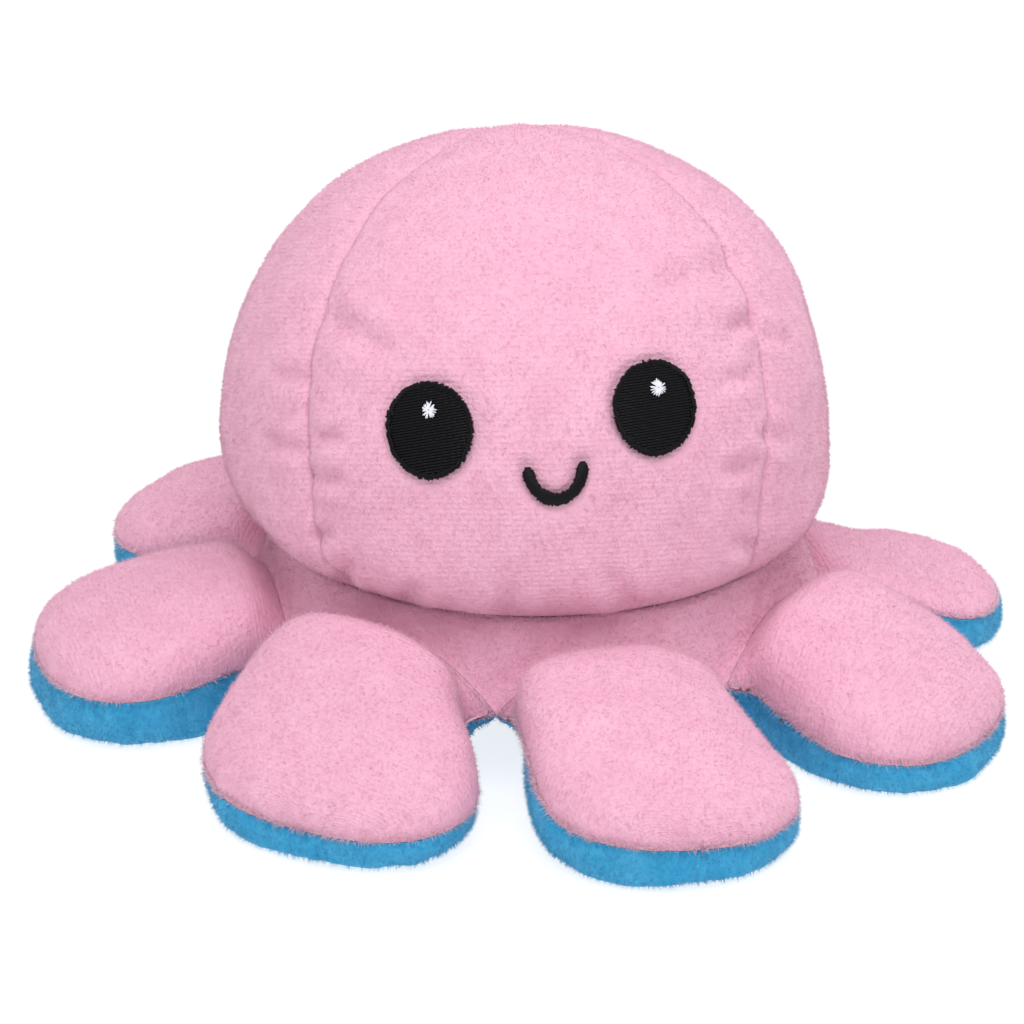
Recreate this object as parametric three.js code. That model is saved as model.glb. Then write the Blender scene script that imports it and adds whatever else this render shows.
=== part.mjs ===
// A stuffed octopus that can be turned inside out: a round pink head on eight short arms,
// and a blue lining whose own head is pushed up inside the pink one. Sizes are in millimetres.
import * as THREE from 'three';

const degree = Math.PI / 180;

// Plush cloth, and the clearance between pieces that are sewn together or lie on each other.
const clothThickness = 1.6;
const touchGap = 0.3;
const seamGap = 0.45;
const fillingSlack = 0.6;

// The pink head: four panels that meet at a crown which leans back from the face.
const headRadius = 63.5;
const headHalfHeight = 64;
const headAboveNeck = 16.5;
const headSideLean = 2.4;
const headRoundnessShare = 2.25;
const crownTilt = 18.5 * degree;
const frontSeamAngle = 42.5 * degree;

// The neck seam, and the short skirt that joins the head to the arms.
const neckRadius = 55;
const neckHeight = 35.5;
const skirtWidth = 3;
const skirtDrop = 3.5;

// The arms: padded tongues, pink above and blue below, sewn together along their edge.
const armCount = 8;
const armTwist = -11 * degree;
const armLength = 49;
const armHalfWidth = 28.2;
const armRootClearance = 0.8;
const notchHeight = 17;
const notchRounding = 4.6;
const tipSeamHeight = 9.5;
const droopAllowance = 9 * degree;

// How much of the underside is pressed flat by the surface that the toy stands on.
const flatCut = 0.5;

// The blue head, tucked up inside as a pouch.
const pouchRadius = 42;
const pouchMouthRadius = 40;
const pouchMouthHeight = 10;
const pouchWallHeight = 28;
const pouchDomeHeight = 46;
const pouchRoundnessShare = 2.5;

// The embroidered face. Its angles place it on the head.
const facePolar = 66.8 * degree;
const faceRoll = 4.5 * degree;
const eyeSpacing = 45;
const eyeWidth = 18;
const eyeHeight = 19.8;
const glintWidth = 3.4;
const glintHeight = 4;
const glintRise = 3.7;
const glintShift = 0.7;
const smileWidth = 10.7;
const smileShift = 1.4;
const smileDrop = 9.7;
const smileDepth = 6.1;
const smileStroke = 2.5;
const threadThickness = 0.8;

// Sizes worked out from the ones above.
const hingeReach = neckRadius + skirtWidth;
const crestHeight = neckHeight - skirtDrop;
const headCentreHeight = neckHeight + headAboveNeck;
const halfSector = Math.PI / armCount;
const notchHalfWidth = hingeReach * Math.tan(halfSector);
const armRootHalfWidth = notchHalfWidth - armRootClearance;
const crestRise = crestHeight - notchHeight;
const fillingInset = clothThickness + touchGap;

// Exponents and shares that shape the curves.
const shapeShares = {
  neckTuck: 3,
  crownFall: 2.6,
  soleFall: 5.5,
  seamFall: 1.3,
  widest: 0.5,
  tipWidth: 2.3,
  crossTop: 2.2,
  crossSole: 2,
  flatSole: 0.72,
  rootRounding: 0.9,
  soleRootRounding: 1.5,
  endRounding: 0.45,
  roundingReach: 0.35,
  notchReach: 0.13,
  notchFade: 0.5,
  skirtSole: 4,
  ovalEnd: 0.9,
};

// How finely the curved surfaces are divided.
const panelCount = 4;
const panelColumns = 8;
const headRows = 10;
const skirtRows = 3;
const liningRows = 5;
const wallRows = 2;
const domeRows = 5;
const armRows = 8;
const armColumns = 8;
const eyeSteps = 6;
const glintSteps = 4;
const smileSteps = 12;
const smileColumns = 2;
const skirtColumns = panelColumns * panelCount / armCount;

const cloth = (color) => new THREE.MeshStandardMaterial({ color, roughness: 0.95, metalness: 0 });
const pinkPlush = () => cloth(0xf7b5cb);
const bluePlush = () => cloth(0x2f9be4);
const whiteFilling = () => cloth(0xf3f1ec);
const thread = (color) => new THREE.MeshStandardMaterial({ color, roughness: 0.55, metalness: 0 });
const blackThread = () => thread(0x15131a);
const whiteThread = () => thread(0xf4f2f5);

const mix = (a, b, share) => a + (b - a) * share;
const clamp01 = (value) => Math.min(Math.max(value, 0), 1);
const smooth = (value) => clamp01(value) ** 2 * (3 - 2 * clamp01(value));
const signedPower = (value, exponent) => Math.sign(value) * Math.abs(value) ** exponent;

// A unit direction from its polar angle and its azimuth, which is zero at the face.
function direction(polar, azimuth) {
  const flat = Math.sin(polar);
  return new THREE.Vector3(flat * Math.sin(azimuth), -flat * Math.cos(azimuth), Math.cos(polar));
}

// The polar angle at which the head's round shape comes down to the neck.
const neckPolar = Math.acos(-((headAboveNeck / headHalfHeight) ** (headRoundnessShare / 2)));

// A point of the head in a given direction, drawn in at the neck and leaning a little sideways.
function headPoint(way) {
  const polar = Math.acos(Math.min(Math.max(way.z, -1), 1));
  const azimuth = Math.atan2(way.x, -way.y);
  const round = 2 / headRoundnessShare;
  const rise = headHalfHeight * signedPower(Math.cos(polar), round);
  const tuck = clamp01((polar - Math.PI / 2) / (neckPolar - Math.PI / 2)) ** shapeShares.neckTuck;
  const freeNeckRadius = headRadius * Math.sin(neckPolar) ** round;
  const radius = headRadius * Math.sin(polar) ** round - (freeNeckRadius - neckRadius) * tuck;
  const lean = headSideLean * smooth((rise + headAboveNeck) / headAboveNeck);
  return new THREE.Vector3(
    radius * Math.sin(azimuth) - lean,
    -radius * Math.cos(azimuth),
    headCentreHeight + rise,
  );
}

// The azimuths of the head's columns. Each panel has the same number of them.
function headAzimuths() {
  const seams = [-frontSeamAngle, frontSeamAngle, Math.PI - frontSeamAngle, Math.PI + frontSeamAngle];
  const columns = [];
  seams.forEach((start, panel) => {
    const end = panel < seams.length - 1 ? seams[panel + 1] : seams[0] + 2 * Math.PI;
    for (let step = 0; step < panelColumns; step += 1) columns.push(mix(start, end, step / panelColumns));
  });
  return columns;
}

// The head as rows of points from the crown to the neck. The rows fan out from the tilted crown.
function headGrid() {
  const crown = direction(crownTilt, Math.PI);
  const rows = [];
  for (let row = 0; row <= headRows; row += 1) {
    rows.push(headAzimuths().map((azimuth) => {
      const end = direction(neckPolar, azimuth);
      const arc = crown.angleTo(end);
      const share = row / headRows;
      const way = crown.clone().multiplyScalar(Math.sin((1 - share) * arc));
      way.addScaledVector(end, Math.sin(share * arc)).normalize();
      return headPoint(way);
    }));
  }
  return rows;
}

// The pouch as rows of points from its top to its mouth, on the side that faces the filling.
function pouchGrid() {
  const wallTop = pouchMouthHeight + pouchWallHeight;
  const round = 2 / pouchRoundnessShare;
  const rings = [];
  for (let row = 0; row < domeRows; row += 1) {
    const polar = (Math.PI / 2) * (row / domeRows);
    rings.push([
      pouchRadius * Math.sin(polar) ** round,
      wallTop + pouchDomeHeight * Math.cos(polar) ** round,
    ]);
  }
  for (let row = 0; row <= wallRows; row += 1) {
    const share = row / wallRows;
    rings.push([
      mix(pouchRadius, pouchMouthRadius, share ** 2),
      mix(wallTop, pouchMouthHeight, share),
    ]);
  }
  return rings.map(([radius, height]) => headAzimuths().map(
    (azimuth) => new THREE.Vector3(radius * Math.sin(azimuth), -radius * Math.cos(azimuth), height),
  ));
}

const coincide = (row) => row.every((point) => point.distanceToSquared(row[0]) === 0);

// The unit normals of a grid of points, each the mean of the faces round it. They face outward or up
// where the columns go to the right and the rows go down or outward.
function gridNormals(grid, closed) {
  const normals = grid.map((row) => row.map(() => new THREE.Vector3()));
  const columns = grid[0].length;
  const last = closed ? columns : columns - 1;
  for (let i = 0; i < grid.length - 1; i += 1) {
    for (let j = 0; j < last; j += 1) {
      const k = (j + 1) % columns;
      const across = grid[i + 1][k].clone().sub(grid[i][j]);
      const back = grid[i + 1][j].clone().sub(grid[i][k]);
      const normal = back.cross(across);
      [[i, j], [i, k], [i + 1, j], [i + 1, k]].forEach(([r, c]) => normals[r][c].add(normal));
    }
  }
  grid.forEach((row, i) => {
    if (!coincide(row)) return;
    const sum = new THREE.Vector3();
    normals[i].forEach((normal) => sum.add(normal));
    normals[i].forEach((normal) => normal.copy(sum));
  });
  return normals.map((row) => row.map((normal) => normal.normalize()));
}

// The same grid moved along its normals. A positive distance moves it to the side they face.
function offsetGrid(grid, distance, closed) {
  const normals = gridNormals(grid, closed);
  return grid.map((row, i) => row.map((point, j) => point.clone().addScaledVector(normals[i][j], distance)));
}

// Collects triangles by their corner points and makes one closed geometry that faces outward.
class SolidBuilder {
  constructor() {
    this.triangles = [];
  }

  triangle(a, b, c) {
    const thin = a.distanceToSquared(b) === 0 || b.distanceToSquared(c) === 0 || c.distanceToSquared(a) === 0;
    if (!thin) this.triangles.push([a, b, c]);
  }

  quad(a, b, c, d) {
    this.triangle(a, b, c);
    this.triangle(a, c, d);
  }

  // The quads of a grid. A turned quad is split along its other diagonal.
  surface(grid, closed, flipped, isTurned = () => false) {
    const columns = grid[0].length;
    const last = closed ? columns : columns - 1;
    for (let i = 0; i < grid.length - 1; i += 1) {
      for (let j = 0; j < last; j += 1) {
        const k = (j + 1) % columns;
        const corners = [grid[i][j], grid[i][k], grid[i + 1][k], grid[i + 1][j]];
        if (isTurned(i, j)) corners.push(corners.shift());
        if (flipped) corners.reverse();
        if (flipped) corners.unshift(corners.pop());
        this.quad(...corners);
      }
    }
  }

  geometry() {
    let volume = 0;
    this.triangles.forEach(([a, b, c]) => {
      volume += a.dot(b.clone().cross(c));
    });
    const corners = this.triangles.flatMap(([a, b, c]) => (volume > 0 ? [a, b, c] : [a, c, b]));
    const geometry = new THREE.BufferGeometry().setFromPoints(corners);
    geometry.computeVertexNormals();
    return geometry;
  }
}

// A sheet of cloth: two grids of the same size, and the rims that join their borders.
function sheetSolid(outer, inner, closed) {
  const solid = new SolidBuilder();
  solid.surface(outer, closed, false);
  solid.surface(inner, closed, true);
  const lastRow = outer.length - 1;
  const columns = outer[0].length;
  const lastColumn = closed ? columns : columns - 1;
  for (let j = 0; j < lastColumn; j += 1) {
    const k = (j + 1) % columns;
    solid.quad(outer[0][j], inner[0][j], inner[0][k], outer[0][k]);
    solid.quad(outer[lastRow][j], outer[lastRow][k], inner[lastRow][k], inner[lastRow][j]);
  }
  if (!closed) {
    for (let i = 0; i < lastRow; i += 1) {
      solid.quad(outer[i][0], outer[i + 1][0], inner[i + 1][0], inner[i][0]);
      const [near, far] = [outer[i], outer[i + 1]].map((row) => row[lastColumn]);
      solid.quad(near, inner[i][lastColumn], inner[i + 1][lastColumn], far);
    }
  }
  return solid.geometry();
}

// A filling: one grid that closes on itself, whose first and last rows are points or flat ends.
// Where its rows or columns run backwards along a cover, its quads are turned to match the cover's.
function lumpSolid(grid, isTurned) {
  const solid = new SolidBuilder();
  solid.surface(grid, true, false, isTurned);
  [grid[0], grid[grid.length - 1]].forEach((row, end) => {
    if (coincide(row)) return;
    const middle = row.reduce((sum, point) => sum.add(point), new THREE.Vector3()).divideScalar(row.length);
    row.forEach((point, j) => {
      const next = row[(j + 1) % row.length];
      if (end === 0) solid.triangle(middle, next, point);
      else solid.triangle(middle, point, next);
    });
  });
  return solid.geometry();
}

function piece(name, geometry, material) {
  const mesh = new THREE.Mesh(geometry, material);
  mesh.name = name;
  return mesh;
}

// One panel of a head, cut from a full grid and drawn back from its two seams.
function cutPanel(grid, panel) {
  const total = grid[0].length;
  const start = panel * panelColumns;
  return grid.map((row) => {
    const points = [];
    for (let step = 0; step <= panelColumns; step += 1) points.push(row[(start + step) % total].clone());
    if (coincide(points)) return points;
    const drawBack = (edge, inner) => {
      const inward = points[inner].clone().sub(points[edge]).normalize();
      points[edge].addScaledVector(inward, touchGap / 2);
    };
    drawBack(0, 1);
    drawBack(panelColumns, panelColumns - 1);
    return points;
  });
}

// Moves a panel's shared top point in under the panel, so that it clears its neighbours there.
function parkApex(panelGrid) {
  const [apexRow, nextRow] = panelGrid;
  const apex = apexRow[0].clone();
  const toFirst = nextRow[0].clone().sub(apex).normalize();
  const toLast = nextRow[panelColumns].clone().sub(apex).normalize();
  const middle = toFirst.clone().add(toLast).normalize();
  const reach = touchGap / 2 / Math.sin(toFirst.angleTo(toLast) / 2);
  apexRow.forEach((point) => point.copy(apex).addScaledVector(middle, reach));
  return panelGrid;
}

function headPanels(prefix, grid, innerDistance, material) {
  const inner = offsetGrid(grid, innerDistance, true);
  const sides = ['front', 'right', 'back', 'left'];
  return sides.map((side, panel) => {
    const outerPanel = parkApex(cutPanel(grid, panel));
    const innerPanel = parkApex(cutPanel(inner, panel));
    return piece(`${prefix}_${side}_panel`, sheetSolid(outerPanel, innerPanel, false), material());
  });
}

// The height of an arm's edge seam, from the notch between two arms out to the tip.
function seamHeight(share) {
  return mix(tipSeamHeight, notchHeight, (1 - share) ** shapeShares.seamFall);
}

// How far an arm's edge gives way to the rounded notch beside it: a quarter round that fades outward.
function notchRelief(share) {
  const { notchReach, notchFade } = shapeShares;
  const round = Math.sqrt(1 - (1 - clamp01(share / notchReach)) ** 2);
  return notchRounding * round * (1 - smooth((share - notchReach) / notchFade));
}

// Half of an arm's width at a share of its length.
function halfWidth(share) {
  const { widest, tipWidth } = shapeShares;
  if (share < widest) {
    const width = mix(armHalfWidth, armRootHalfWidth, ((widest - share) / widest) ** 2);
    return width - notchRelief(share);
  }
  const beyond = (share - widest) / (1 - widest);
  return armHalfWidth * Math.max(1 - beyond ** tipWidth, 0) ** (1 / tipWidth) - notchRelief(share);
}

const endFall = (share, exponent) => Math.max(1 - share ** exponent, 0) ** (1 / exponent);

// How rounded the arm's section is: the given arch at the root, and a full round beyond it.
function sectionRounding(share, rootRounding) {
  return mix(rootRounding, shapeShares.endRounding, smooth(share / shapeShares.roundingReach));
}

function topArch(across, share) {
  const rounding = sectionRounding(share, shapeShares.rootRounding);
  return Math.max(1 - Math.abs(across) ** shapeShares.crossTop, 0) ** rounding;
}

// The underside is flat over its middle, and turns up to the seam on either side.
function soleArch(across, share) {
  const beyond = Math.max(Math.abs(across) - shapeShares.flatSole, 0) / (1 - shapeShares.flatSole);
  const rounding = sectionRounding(share, shapeShares.soleRootRounding);
  return Math.max(1 - beyond ** shapeShares.crossSole, 0) ** rounding;
}

// Heights of the arm's upper and lower cloth at a share of its length and of its half width.
function topHeight(share, across) {
  const rise = crestRise * endFall(share, shapeShares.crownFall);
  return seamHeight(share) + rise * topArch(across, share);
}

function soleHeight(share, across) {
  const seam = seamHeight(share) - seamGap;
  const fall = (seam + flatCut) * endFall(share, shapeShares.soleFall);
  return Math.max(seam - fall * soleArch(across, share), 0);
}

// The arm's end at the hinge slopes away below the crest, so that the arm can also droop.
function rootPlane(height) {
  return hingeReach + touchGap / 2 + (crestHeight - height) * Math.tan(droopAllowance);
}

// A grid over one side of an arm, from the hinge to the tip, in the arm's own frame.
function armGrid(heightAt) {
  const rows = [];
  for (let row = 0; row <= armRows; row += 1) {
    const share = Math.sin((Math.PI / 2) * (row / armRows));
    const points = [];
    for (let column = 0; column <= armColumns; column += 1) {
      const across = Math.sin(Math.PI * (column / armColumns - 1 / 2));
      const height = heightAt(share, across);
      const slope = (rootPlane(height) - hingeReach) * (1 - share);
      const reach = hingeReach + armLength * share + slope;
      points.push(new THREE.Vector3(reach, halfWidth(share) * across, height));
    }
    rows.push(row < armRows ? points : points.map(() => points[armColumns / 2].clone()));
  }
  return rows;
}

// Keeps an inner grid's root end on the root plane, and its edges level with the seam.
function trimToArm(inner, outer) {
  inner.forEach((row, i) => {
    [0, armColumns].forEach((edge) => {
      row[edge].z = outer[i][edge].z;
    });
  });
  inner[0].forEach((point) => {
    point.x = rootPlane(point.z);
  });
  inner[armRows].forEach((point) => {
    point.z = outer[armRows][0].z;
  });
  return inner;
}

function armCover(name, heightAt, inwardDistance, material) {
  const outer = armGrid(heightAt);
  const inner = trimToArm(offsetGrid(outer, inwardDistance, false), outer);
  return piece(name, sheetSolid(outer, inner, false), material());
}

// Where the filling meets the edge seam: level with the seam, and clear of both covers.
function seamPoint(above, below) {
  const inmost = Math.abs(above.y) < Math.abs(below.y) ? above : below;
  return inmost.clone().setZ((above.z + below.z) / 2);
}

// The arm's filling: the space between the two covers, less the clearance.
function armFilling(name) {
  const topOuter = armGrid(topHeight);
  const soleOuter = armGrid(soleHeight);
  const top = trimToArm(offsetGrid(topOuter, -fillingInset, false), topOuter);
  const sole = trimToArm(offsetGrid(soleOuter, fillingInset, false), soleOuter);
  const rows = top.map((row, i) => {
    const lower = sole[i].slice(1, armColumns).reverse();
    const upper = row.map((point, j) => (j === 0 || j === armColumns ? seamPoint(point, sole[i][j]) : point));
    return upper.concat(lower);
  });
  const tip = rows[armRows][0].clone();
  rows[armRows].forEach((point) => point.copy(tip));
  return piece(name, lumpSolid(rows, (i, j) => j >= armColumns), whiteFilling());
}

// One arm in a group whose x axis points outward along the arm.
function arm(number) {
  const group = new THREE.Group();
  group.add(armCover(`arm_${number}_top_cover`, topHeight, -clothThickness, pinkPlush));
  group.add(armCover(`arm_${number}_underside`, soleHeight, clothThickness, bluePlush));
  group.add(armFilling(`arm_${number}_filling`));
  group.rotation.z = armAzimuth(number) - Math.PI / 2;
  return group;
}

// Arm 1 is the one left of the face's middle, and the numbers go on to the right of it.
function armAzimuth(number) {
  return armTwist + halfSector * (2 * number - 3);
}

// A point of the octagon on which the arms are hinged, at the height of the given section.
function hingePoint(number, column, heightAt) {
  const across = Math.sin(Math.PI * (column / skirtColumns - 1 / 2));
  const point = new THREE.Vector3(hingeReach - touchGap / 2, notchHalfWidth * across, heightAt(0, across));
  return point.applyAxisAngle(new THREE.Vector3(0, 0, 1), armAzimuth(number) - Math.PI / 2);
}

// The ring between a circle and the octagon of the hinges, as rows of points going outward.
function skirtGrid(rowCount, radius, height, heightAt, fall) {
  const rows = [];
  for (let row = 0; row <= rowCount; row += 1) {
    const share = row / rowCount;
    const points = [];
    for (let number = 1; number <= armCount; number += 1) {
      for (let column = 0; column < skirtColumns; column += 1) {
        const azimuth = armAzimuth(number) + halfSector * (2 * column / skirtColumns - 1);
        const inner = new THREE.Vector3(radius * Math.sin(azimuth), -radius * Math.cos(azimuth), height);
        const outer = hingePoint(number, column, heightAt);
        const point = inner.clone().lerp(outer, share);
        point.z = Math.max(mix(outer.z, inner.z, (1 - share) ** fall), 0);
        points.push(point);
      }
    }
    rows.push(points);
  }
  return rows;
}

const soleForm = (share, across) => {
  const seam = notchHeight - seamGap;
  return seam - (seam + flatCut) * soleArch(across, share);
};

const skirtTopGrid = () => skirtGrid(skirtRows, neckRadius, neckHeight - touchGap, topHeight, 1);
const liningGrid = () => skirtGrid(
  liningRows, pouchMouthRadius + 2 * touchGap, pouchMouthHeight, soleForm, shapeShares.skirtSole,
);

// Keeps the outer edge of an inner skirt grid on the octagon, and its inner edge on the circle.
// At the octagon's corners, where the upper and lower cloth meet in a seam, it steps inward instead.
function trimToSkirt(inner, outer) {
  const lastRow = outer.length - 1;
  const thickness = inner[0][0].distanceTo(outer[0][0]);
  inner[lastRow].forEach((point, j) => {
    const edge = outer[lastRow][j];
    if (j % skirtColumns === 0) {
      const reach = Math.hypot(edge.x, edge.y);
      point.copy(edge).multiplyScalar((reach - thickness) / reach).setZ(edge.z);
    } else {
      const outward = direction(Math.PI / 2, armAzimuth(1 + Math.floor(j / skirtColumns)));
      point.addScaledVector(outward, edge.clone().sub(point).dot(outward));
    }
  });
  inner[0].forEach((point, j) => {
    point.x = outer[0][j].x;
    point.y = outer[0][j].y;
  });
  return inner;
}

function skirtCover() {
  const outer = skirtTopGrid();
  const inner = trimToSkirt(offsetGrid(outer, -clothThickness, true), outer);
  return piece('skirt_cover', sheetSolid(outer, inner, true), pinkPlush());
}

function skirtLining() {
  const outer = liningGrid();
  const inner = trimToSkirt(offsetGrid(outer, clothThickness, true), outer);
  return piece('skirt_lining', sheetSolid(outer, inner, true), bluePlush());
}

// Draws a ring of points in towards the middle, and lowers or raises it.
function slackRing(row, inward, lift) {
  return row.map((point) => {
    const radius = Math.hypot(point.x, point.y);
    const scale = (radius - inward) / radius;
    return new THREE.Vector3(point.x * scale, point.y * scale, point.z + lift);
  });
}

// Draws the corners of two skirt grids together, where the filling ends short of the notch seams.
function bluntCorners(upper, lower) {
  const upperRow = upper.length - 1;
  const lowerRow = lower.length - 1;
  for (let j = 0; j < upper[0].length; j += skirtColumns) {
    const corner = upper[upperRow - 1][j].clone().lerp(lower[lowerRow - 1][j], 1 / 2);
    upper[upperRow][j].copy(corner);
    lower[lowerRow][j].copy(corner);
  }
}

// The body's filling: one mass between the pink head, the skirt, the lining and the pouch.
function bodyFilling() {
  const head = offsetGrid(headGrid(), -fillingInset, true);
  const neck = slackRing(head.pop(), fillingSlack, 0);
  const skirt = trimToSkirt(offsetGrid(skirtTopGrid(), -fillingInset, true), skirtTopGrid());
  const lining = trimToSkirt(offsetGrid(liningGrid(), fillingInset, true), liningGrid());
  const pouch = offsetGrid(pouchGrid(), touchGap, true);
  const mouth = slackRing(pouch.pop(), -fillingSlack, 3 * fillingInset);
  skirt[0] = slackRing(skirt[0], fillingSlack, -fillingSlack);
  skirt[skirtRows] = slackRing(skirt[skirtRows], 0, -2 * fillingSlack);
  lining[0] = slackRing(lining[0], -fillingSlack, fillingInset);
  lining[liningRows] = slackRing(lining[liningRows], 0, fillingSlack);
  bluntCorners(skirt, lining);
  const upper = [...head, neck, ...skirt];
  const rows = [...upper, ...lining.reverse(), mouth, ...pouch.reverse()];
  return piece('body_filling', lumpSolid(rows, (i) => i >= upper.length), whiteFilling());
}

// A point on the head, at distances along it to the side of the face's middle and above it.
function facePoint(side, up, lift) {
  const middle = direction(facePolar, 0);
  const level = new THREE.Vector3(1, 0, 0);
  const upward = new THREE.Vector3().crossVectors(middle, level);
  const sideways = level.clone().applyAxisAngle(middle, faceRoll);
  const raised = upward.clone().applyAxisAngle(middle, faceRoll);
  const axis = raised.multiplyScalar(side).addScaledVector(sideways, -up).normalize();
  const point = headPoint(middle.applyAxisAngle(axis, Math.hypot(side, up) / headRadius));
  const centre = new THREE.Vector3(0, 0, headCentreHeight);
  return point.addScaledVector(point.clone().sub(centre).normalize(), lift);
}

// A patch of stitches: both its faces follow the head, a thread's thickness apart.
function stitchPatch(name, steps, placeAt, lift, material) {
  const layer = (height) => {
    const rows = [];
    for (let row = 0; row <= steps[0]; row += 1) {
      const points = [];
      for (let column = 0; column <= steps[1]; column += 1) {
        const [side, up] = placeAt(row / steps[0], column / steps[1]);
        points.push(facePoint(side, up, height));
      }
      rows.push(points);
    }
    return rows;
  };
  return piece(name, sheetSolid(layer(lift + threadThickness), layer(lift), false), material());
}

// Rows across an oval, which stop a little short of its two ends.
function ovalPlace(centreSide, centreUp, width, height) {
  return (rowShare, columnShare) => {
    const across = Math.sin(Math.PI * (rowShare - 1 / 2));
    const angle = Math.asin(across) * shapeShares.ovalEnd;
    const half = (width / 2) * Math.cos(angle);
    return [centreSide + half * (2 * columnShare - 1), centreUp + (height / 2) * Math.sin(angle)];
  };
}

function eye(name, side) {
  const place = ovalPlace(side * eyeSpacing / 2, 0, eyeWidth, eyeHeight);
  return stitchPatch(name, [eyeSteps, eyeSteps], place, touchGap, blackThread);
}

function glint(name, side) {
  const place = ovalPlace(side * eyeSpacing / 2 + glintShift, glintRise, glintWidth, glintHeight);
  const lift = touchGap + threadThickness + touchGap;
  return stitchPatch(name, [glintSteps, glintSteps], place, lift, whiteThread);
}

function smile() {
  const place = (rowShare, columnShare) => {
    const turn = Math.PI * (rowShare - 1 / 2);
    const outward = smileStroke * (columnShare - 1 / 2);
    const side = smileShift + (smileWidth / 2 + outward) * Math.sin(turn);
    const up = -smileDrop - (smileDepth + outward) * Math.cos(turn);
    return [side, up];
  };
  return stitchPatch('smile_embroidery', [smileSteps, smileColumns], place, touchGap, blackThread);
}

function octopus() {
  const group = new THREE.Group();
  group.add(...headPanels('head', headGrid(), -clothThickness, pinkPlush));
  group.add(skirtCover(), skirtLining());
  group.add(...headPanels('inner_head', pouchGrid(), -clothThickness, bluePlush));
  group.add(bodyFilling());
  group.add(eye('left_eye', -1), eye('right_eye', 1));
  group.add(glint('left_eye_glint', -1), glint('right_eye_glint', 1));
  group.add(smile());
  for (let number = 1; number <= armCount; number += 1) group.add(arm(number));
  return group;
}

export default octopus();
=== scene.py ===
import bpy
import numpy as np
from mathutils import Matrix


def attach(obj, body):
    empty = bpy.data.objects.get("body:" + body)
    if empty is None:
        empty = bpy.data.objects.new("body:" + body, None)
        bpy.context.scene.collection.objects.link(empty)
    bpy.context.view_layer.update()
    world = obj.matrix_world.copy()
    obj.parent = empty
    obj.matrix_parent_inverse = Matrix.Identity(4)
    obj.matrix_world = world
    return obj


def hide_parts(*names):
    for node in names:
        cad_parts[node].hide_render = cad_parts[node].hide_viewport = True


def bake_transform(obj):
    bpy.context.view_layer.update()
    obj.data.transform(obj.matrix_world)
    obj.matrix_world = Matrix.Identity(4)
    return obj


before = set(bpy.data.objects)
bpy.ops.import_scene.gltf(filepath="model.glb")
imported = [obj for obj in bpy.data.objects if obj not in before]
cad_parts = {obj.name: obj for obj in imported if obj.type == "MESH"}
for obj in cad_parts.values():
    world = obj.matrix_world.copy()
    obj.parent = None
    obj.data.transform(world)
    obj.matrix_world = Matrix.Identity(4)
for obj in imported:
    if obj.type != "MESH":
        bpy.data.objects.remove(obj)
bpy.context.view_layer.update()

# A stuffed octopus: pink plush over a blue plush lining. Shapes are worked out in millimetres
# and put into the meshes in metres. The face looks along -Y, and azimuths turn from there to +X.
DEGREE = np.pi / 180
METRE = 0.001

# Sizes that this file repeats from the part's source, and some that follow from them.
CLOTH = 1.6
HEAD_RADIUS, HEAD_HALF_HEIGHT, HEAD_CENTRE, HEAD_LEAN = 63.5, 64.0, 52.0, 2.4
HEAD_ROUND = 2 / 2.25
CROWN_TILT = 18.5 * DEGREE
FRONT_SEAM = 42.5 * DEGREE
NECK_RADIUS, NECK_HEIGHT = 55.0, 35.5
NECK_POLAR = np.arccos(-((HEAD_CENTRE - NECK_HEIGHT) / HEAD_HALF_HEIGHT) ** (1 / HEAD_ROUND))
HINGE, CREST, NOTCH_HEIGHT, TIP_HEIGHT = 58.0, 32.0, 17.0, 9.5
NOTCH_ROUNDING, NOTCH_REACH = 4.6, 0.13
ARMS, ARM_TWIST, ARM_LENGTH, ARM_HALF_WIDTH = 8, -11 * DEGREE, 49.0, 28.2
HALF_SECTOR = np.pi / ARMS
CORNER = HINGE * np.tan(HALF_SECTOR)
POUCH_RADIUS, POUCH_MOUTH, POUCH_LOW, POUCH_WALL, POUCH_DOME = 42.0, 40.0, 10.0, 28.0, 46.0
FACE_POLAR, FACE_ROLL, EYE_SPACING = 66.8 * DEGREE, 4.5 * DEGREE, 45.0
EYE_WIDTH, EYE_HEIGHT = 18.0, 19.8
EYE_MIDDLES = (-EYE_SPACING / 2, EYE_SPACING / 2)
GLINT_WIDTH, GLINT_HEIGHT, GLINT_SHIFT, GLINT_RISE = 3.4, 4.0, 0.7, 3.7
SMILE_WIDTH, SMILE_SHIFT, SMILE_DROP, SMILE_DEPTH, SMILE_STROKE = 10.7, 1.4, 9.7, 6.1, 2.5

# The head's four panels, and the azimuths of the seams between them, from the first's left one round.
PANELS = ("front", "right", "back", "left")
SEAMS = np.array([-FRONT_SEAM, FRONT_SEAM, np.pi - FRONT_SEAM, np.pi + FRONT_SEAM, 2 * np.pi - FRONT_SEAM])

# How finely the cloth is divided: about a millimetre between points. Its inner face and the arms'
# filling have every fourth column only. Corners are merged to half a thousandth of a millimetre.
PANEL_COLUMNS, HEAD_ROWS = 96, 132
ARM_COLUMNS, ARM_ROWS = 76, 58
SKIRT_ROWS, LINING_ROWS = 12, 26
POUCH_STEPS = 56
INNER_STEP = 4
MERGED_PER_MM = 2000

mix = lambda a, b, share: a + (b - a) * share
smooth = lambda x: np.clip(x, 0, 1) ** 2 * (3 - 2 * np.clip(x, 0, 1))
signed_power = lambda x, exponent: np.sign(x) * np.abs(x) ** exponent
bell = lambda x: np.exp(-x ** 2)


def unit(vectors):
    """Each vector divided by its length."""
    return vectors / np.maximum(np.linalg.norm(vectors, axis=-1, keepdims=True), 1e-9)


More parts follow.
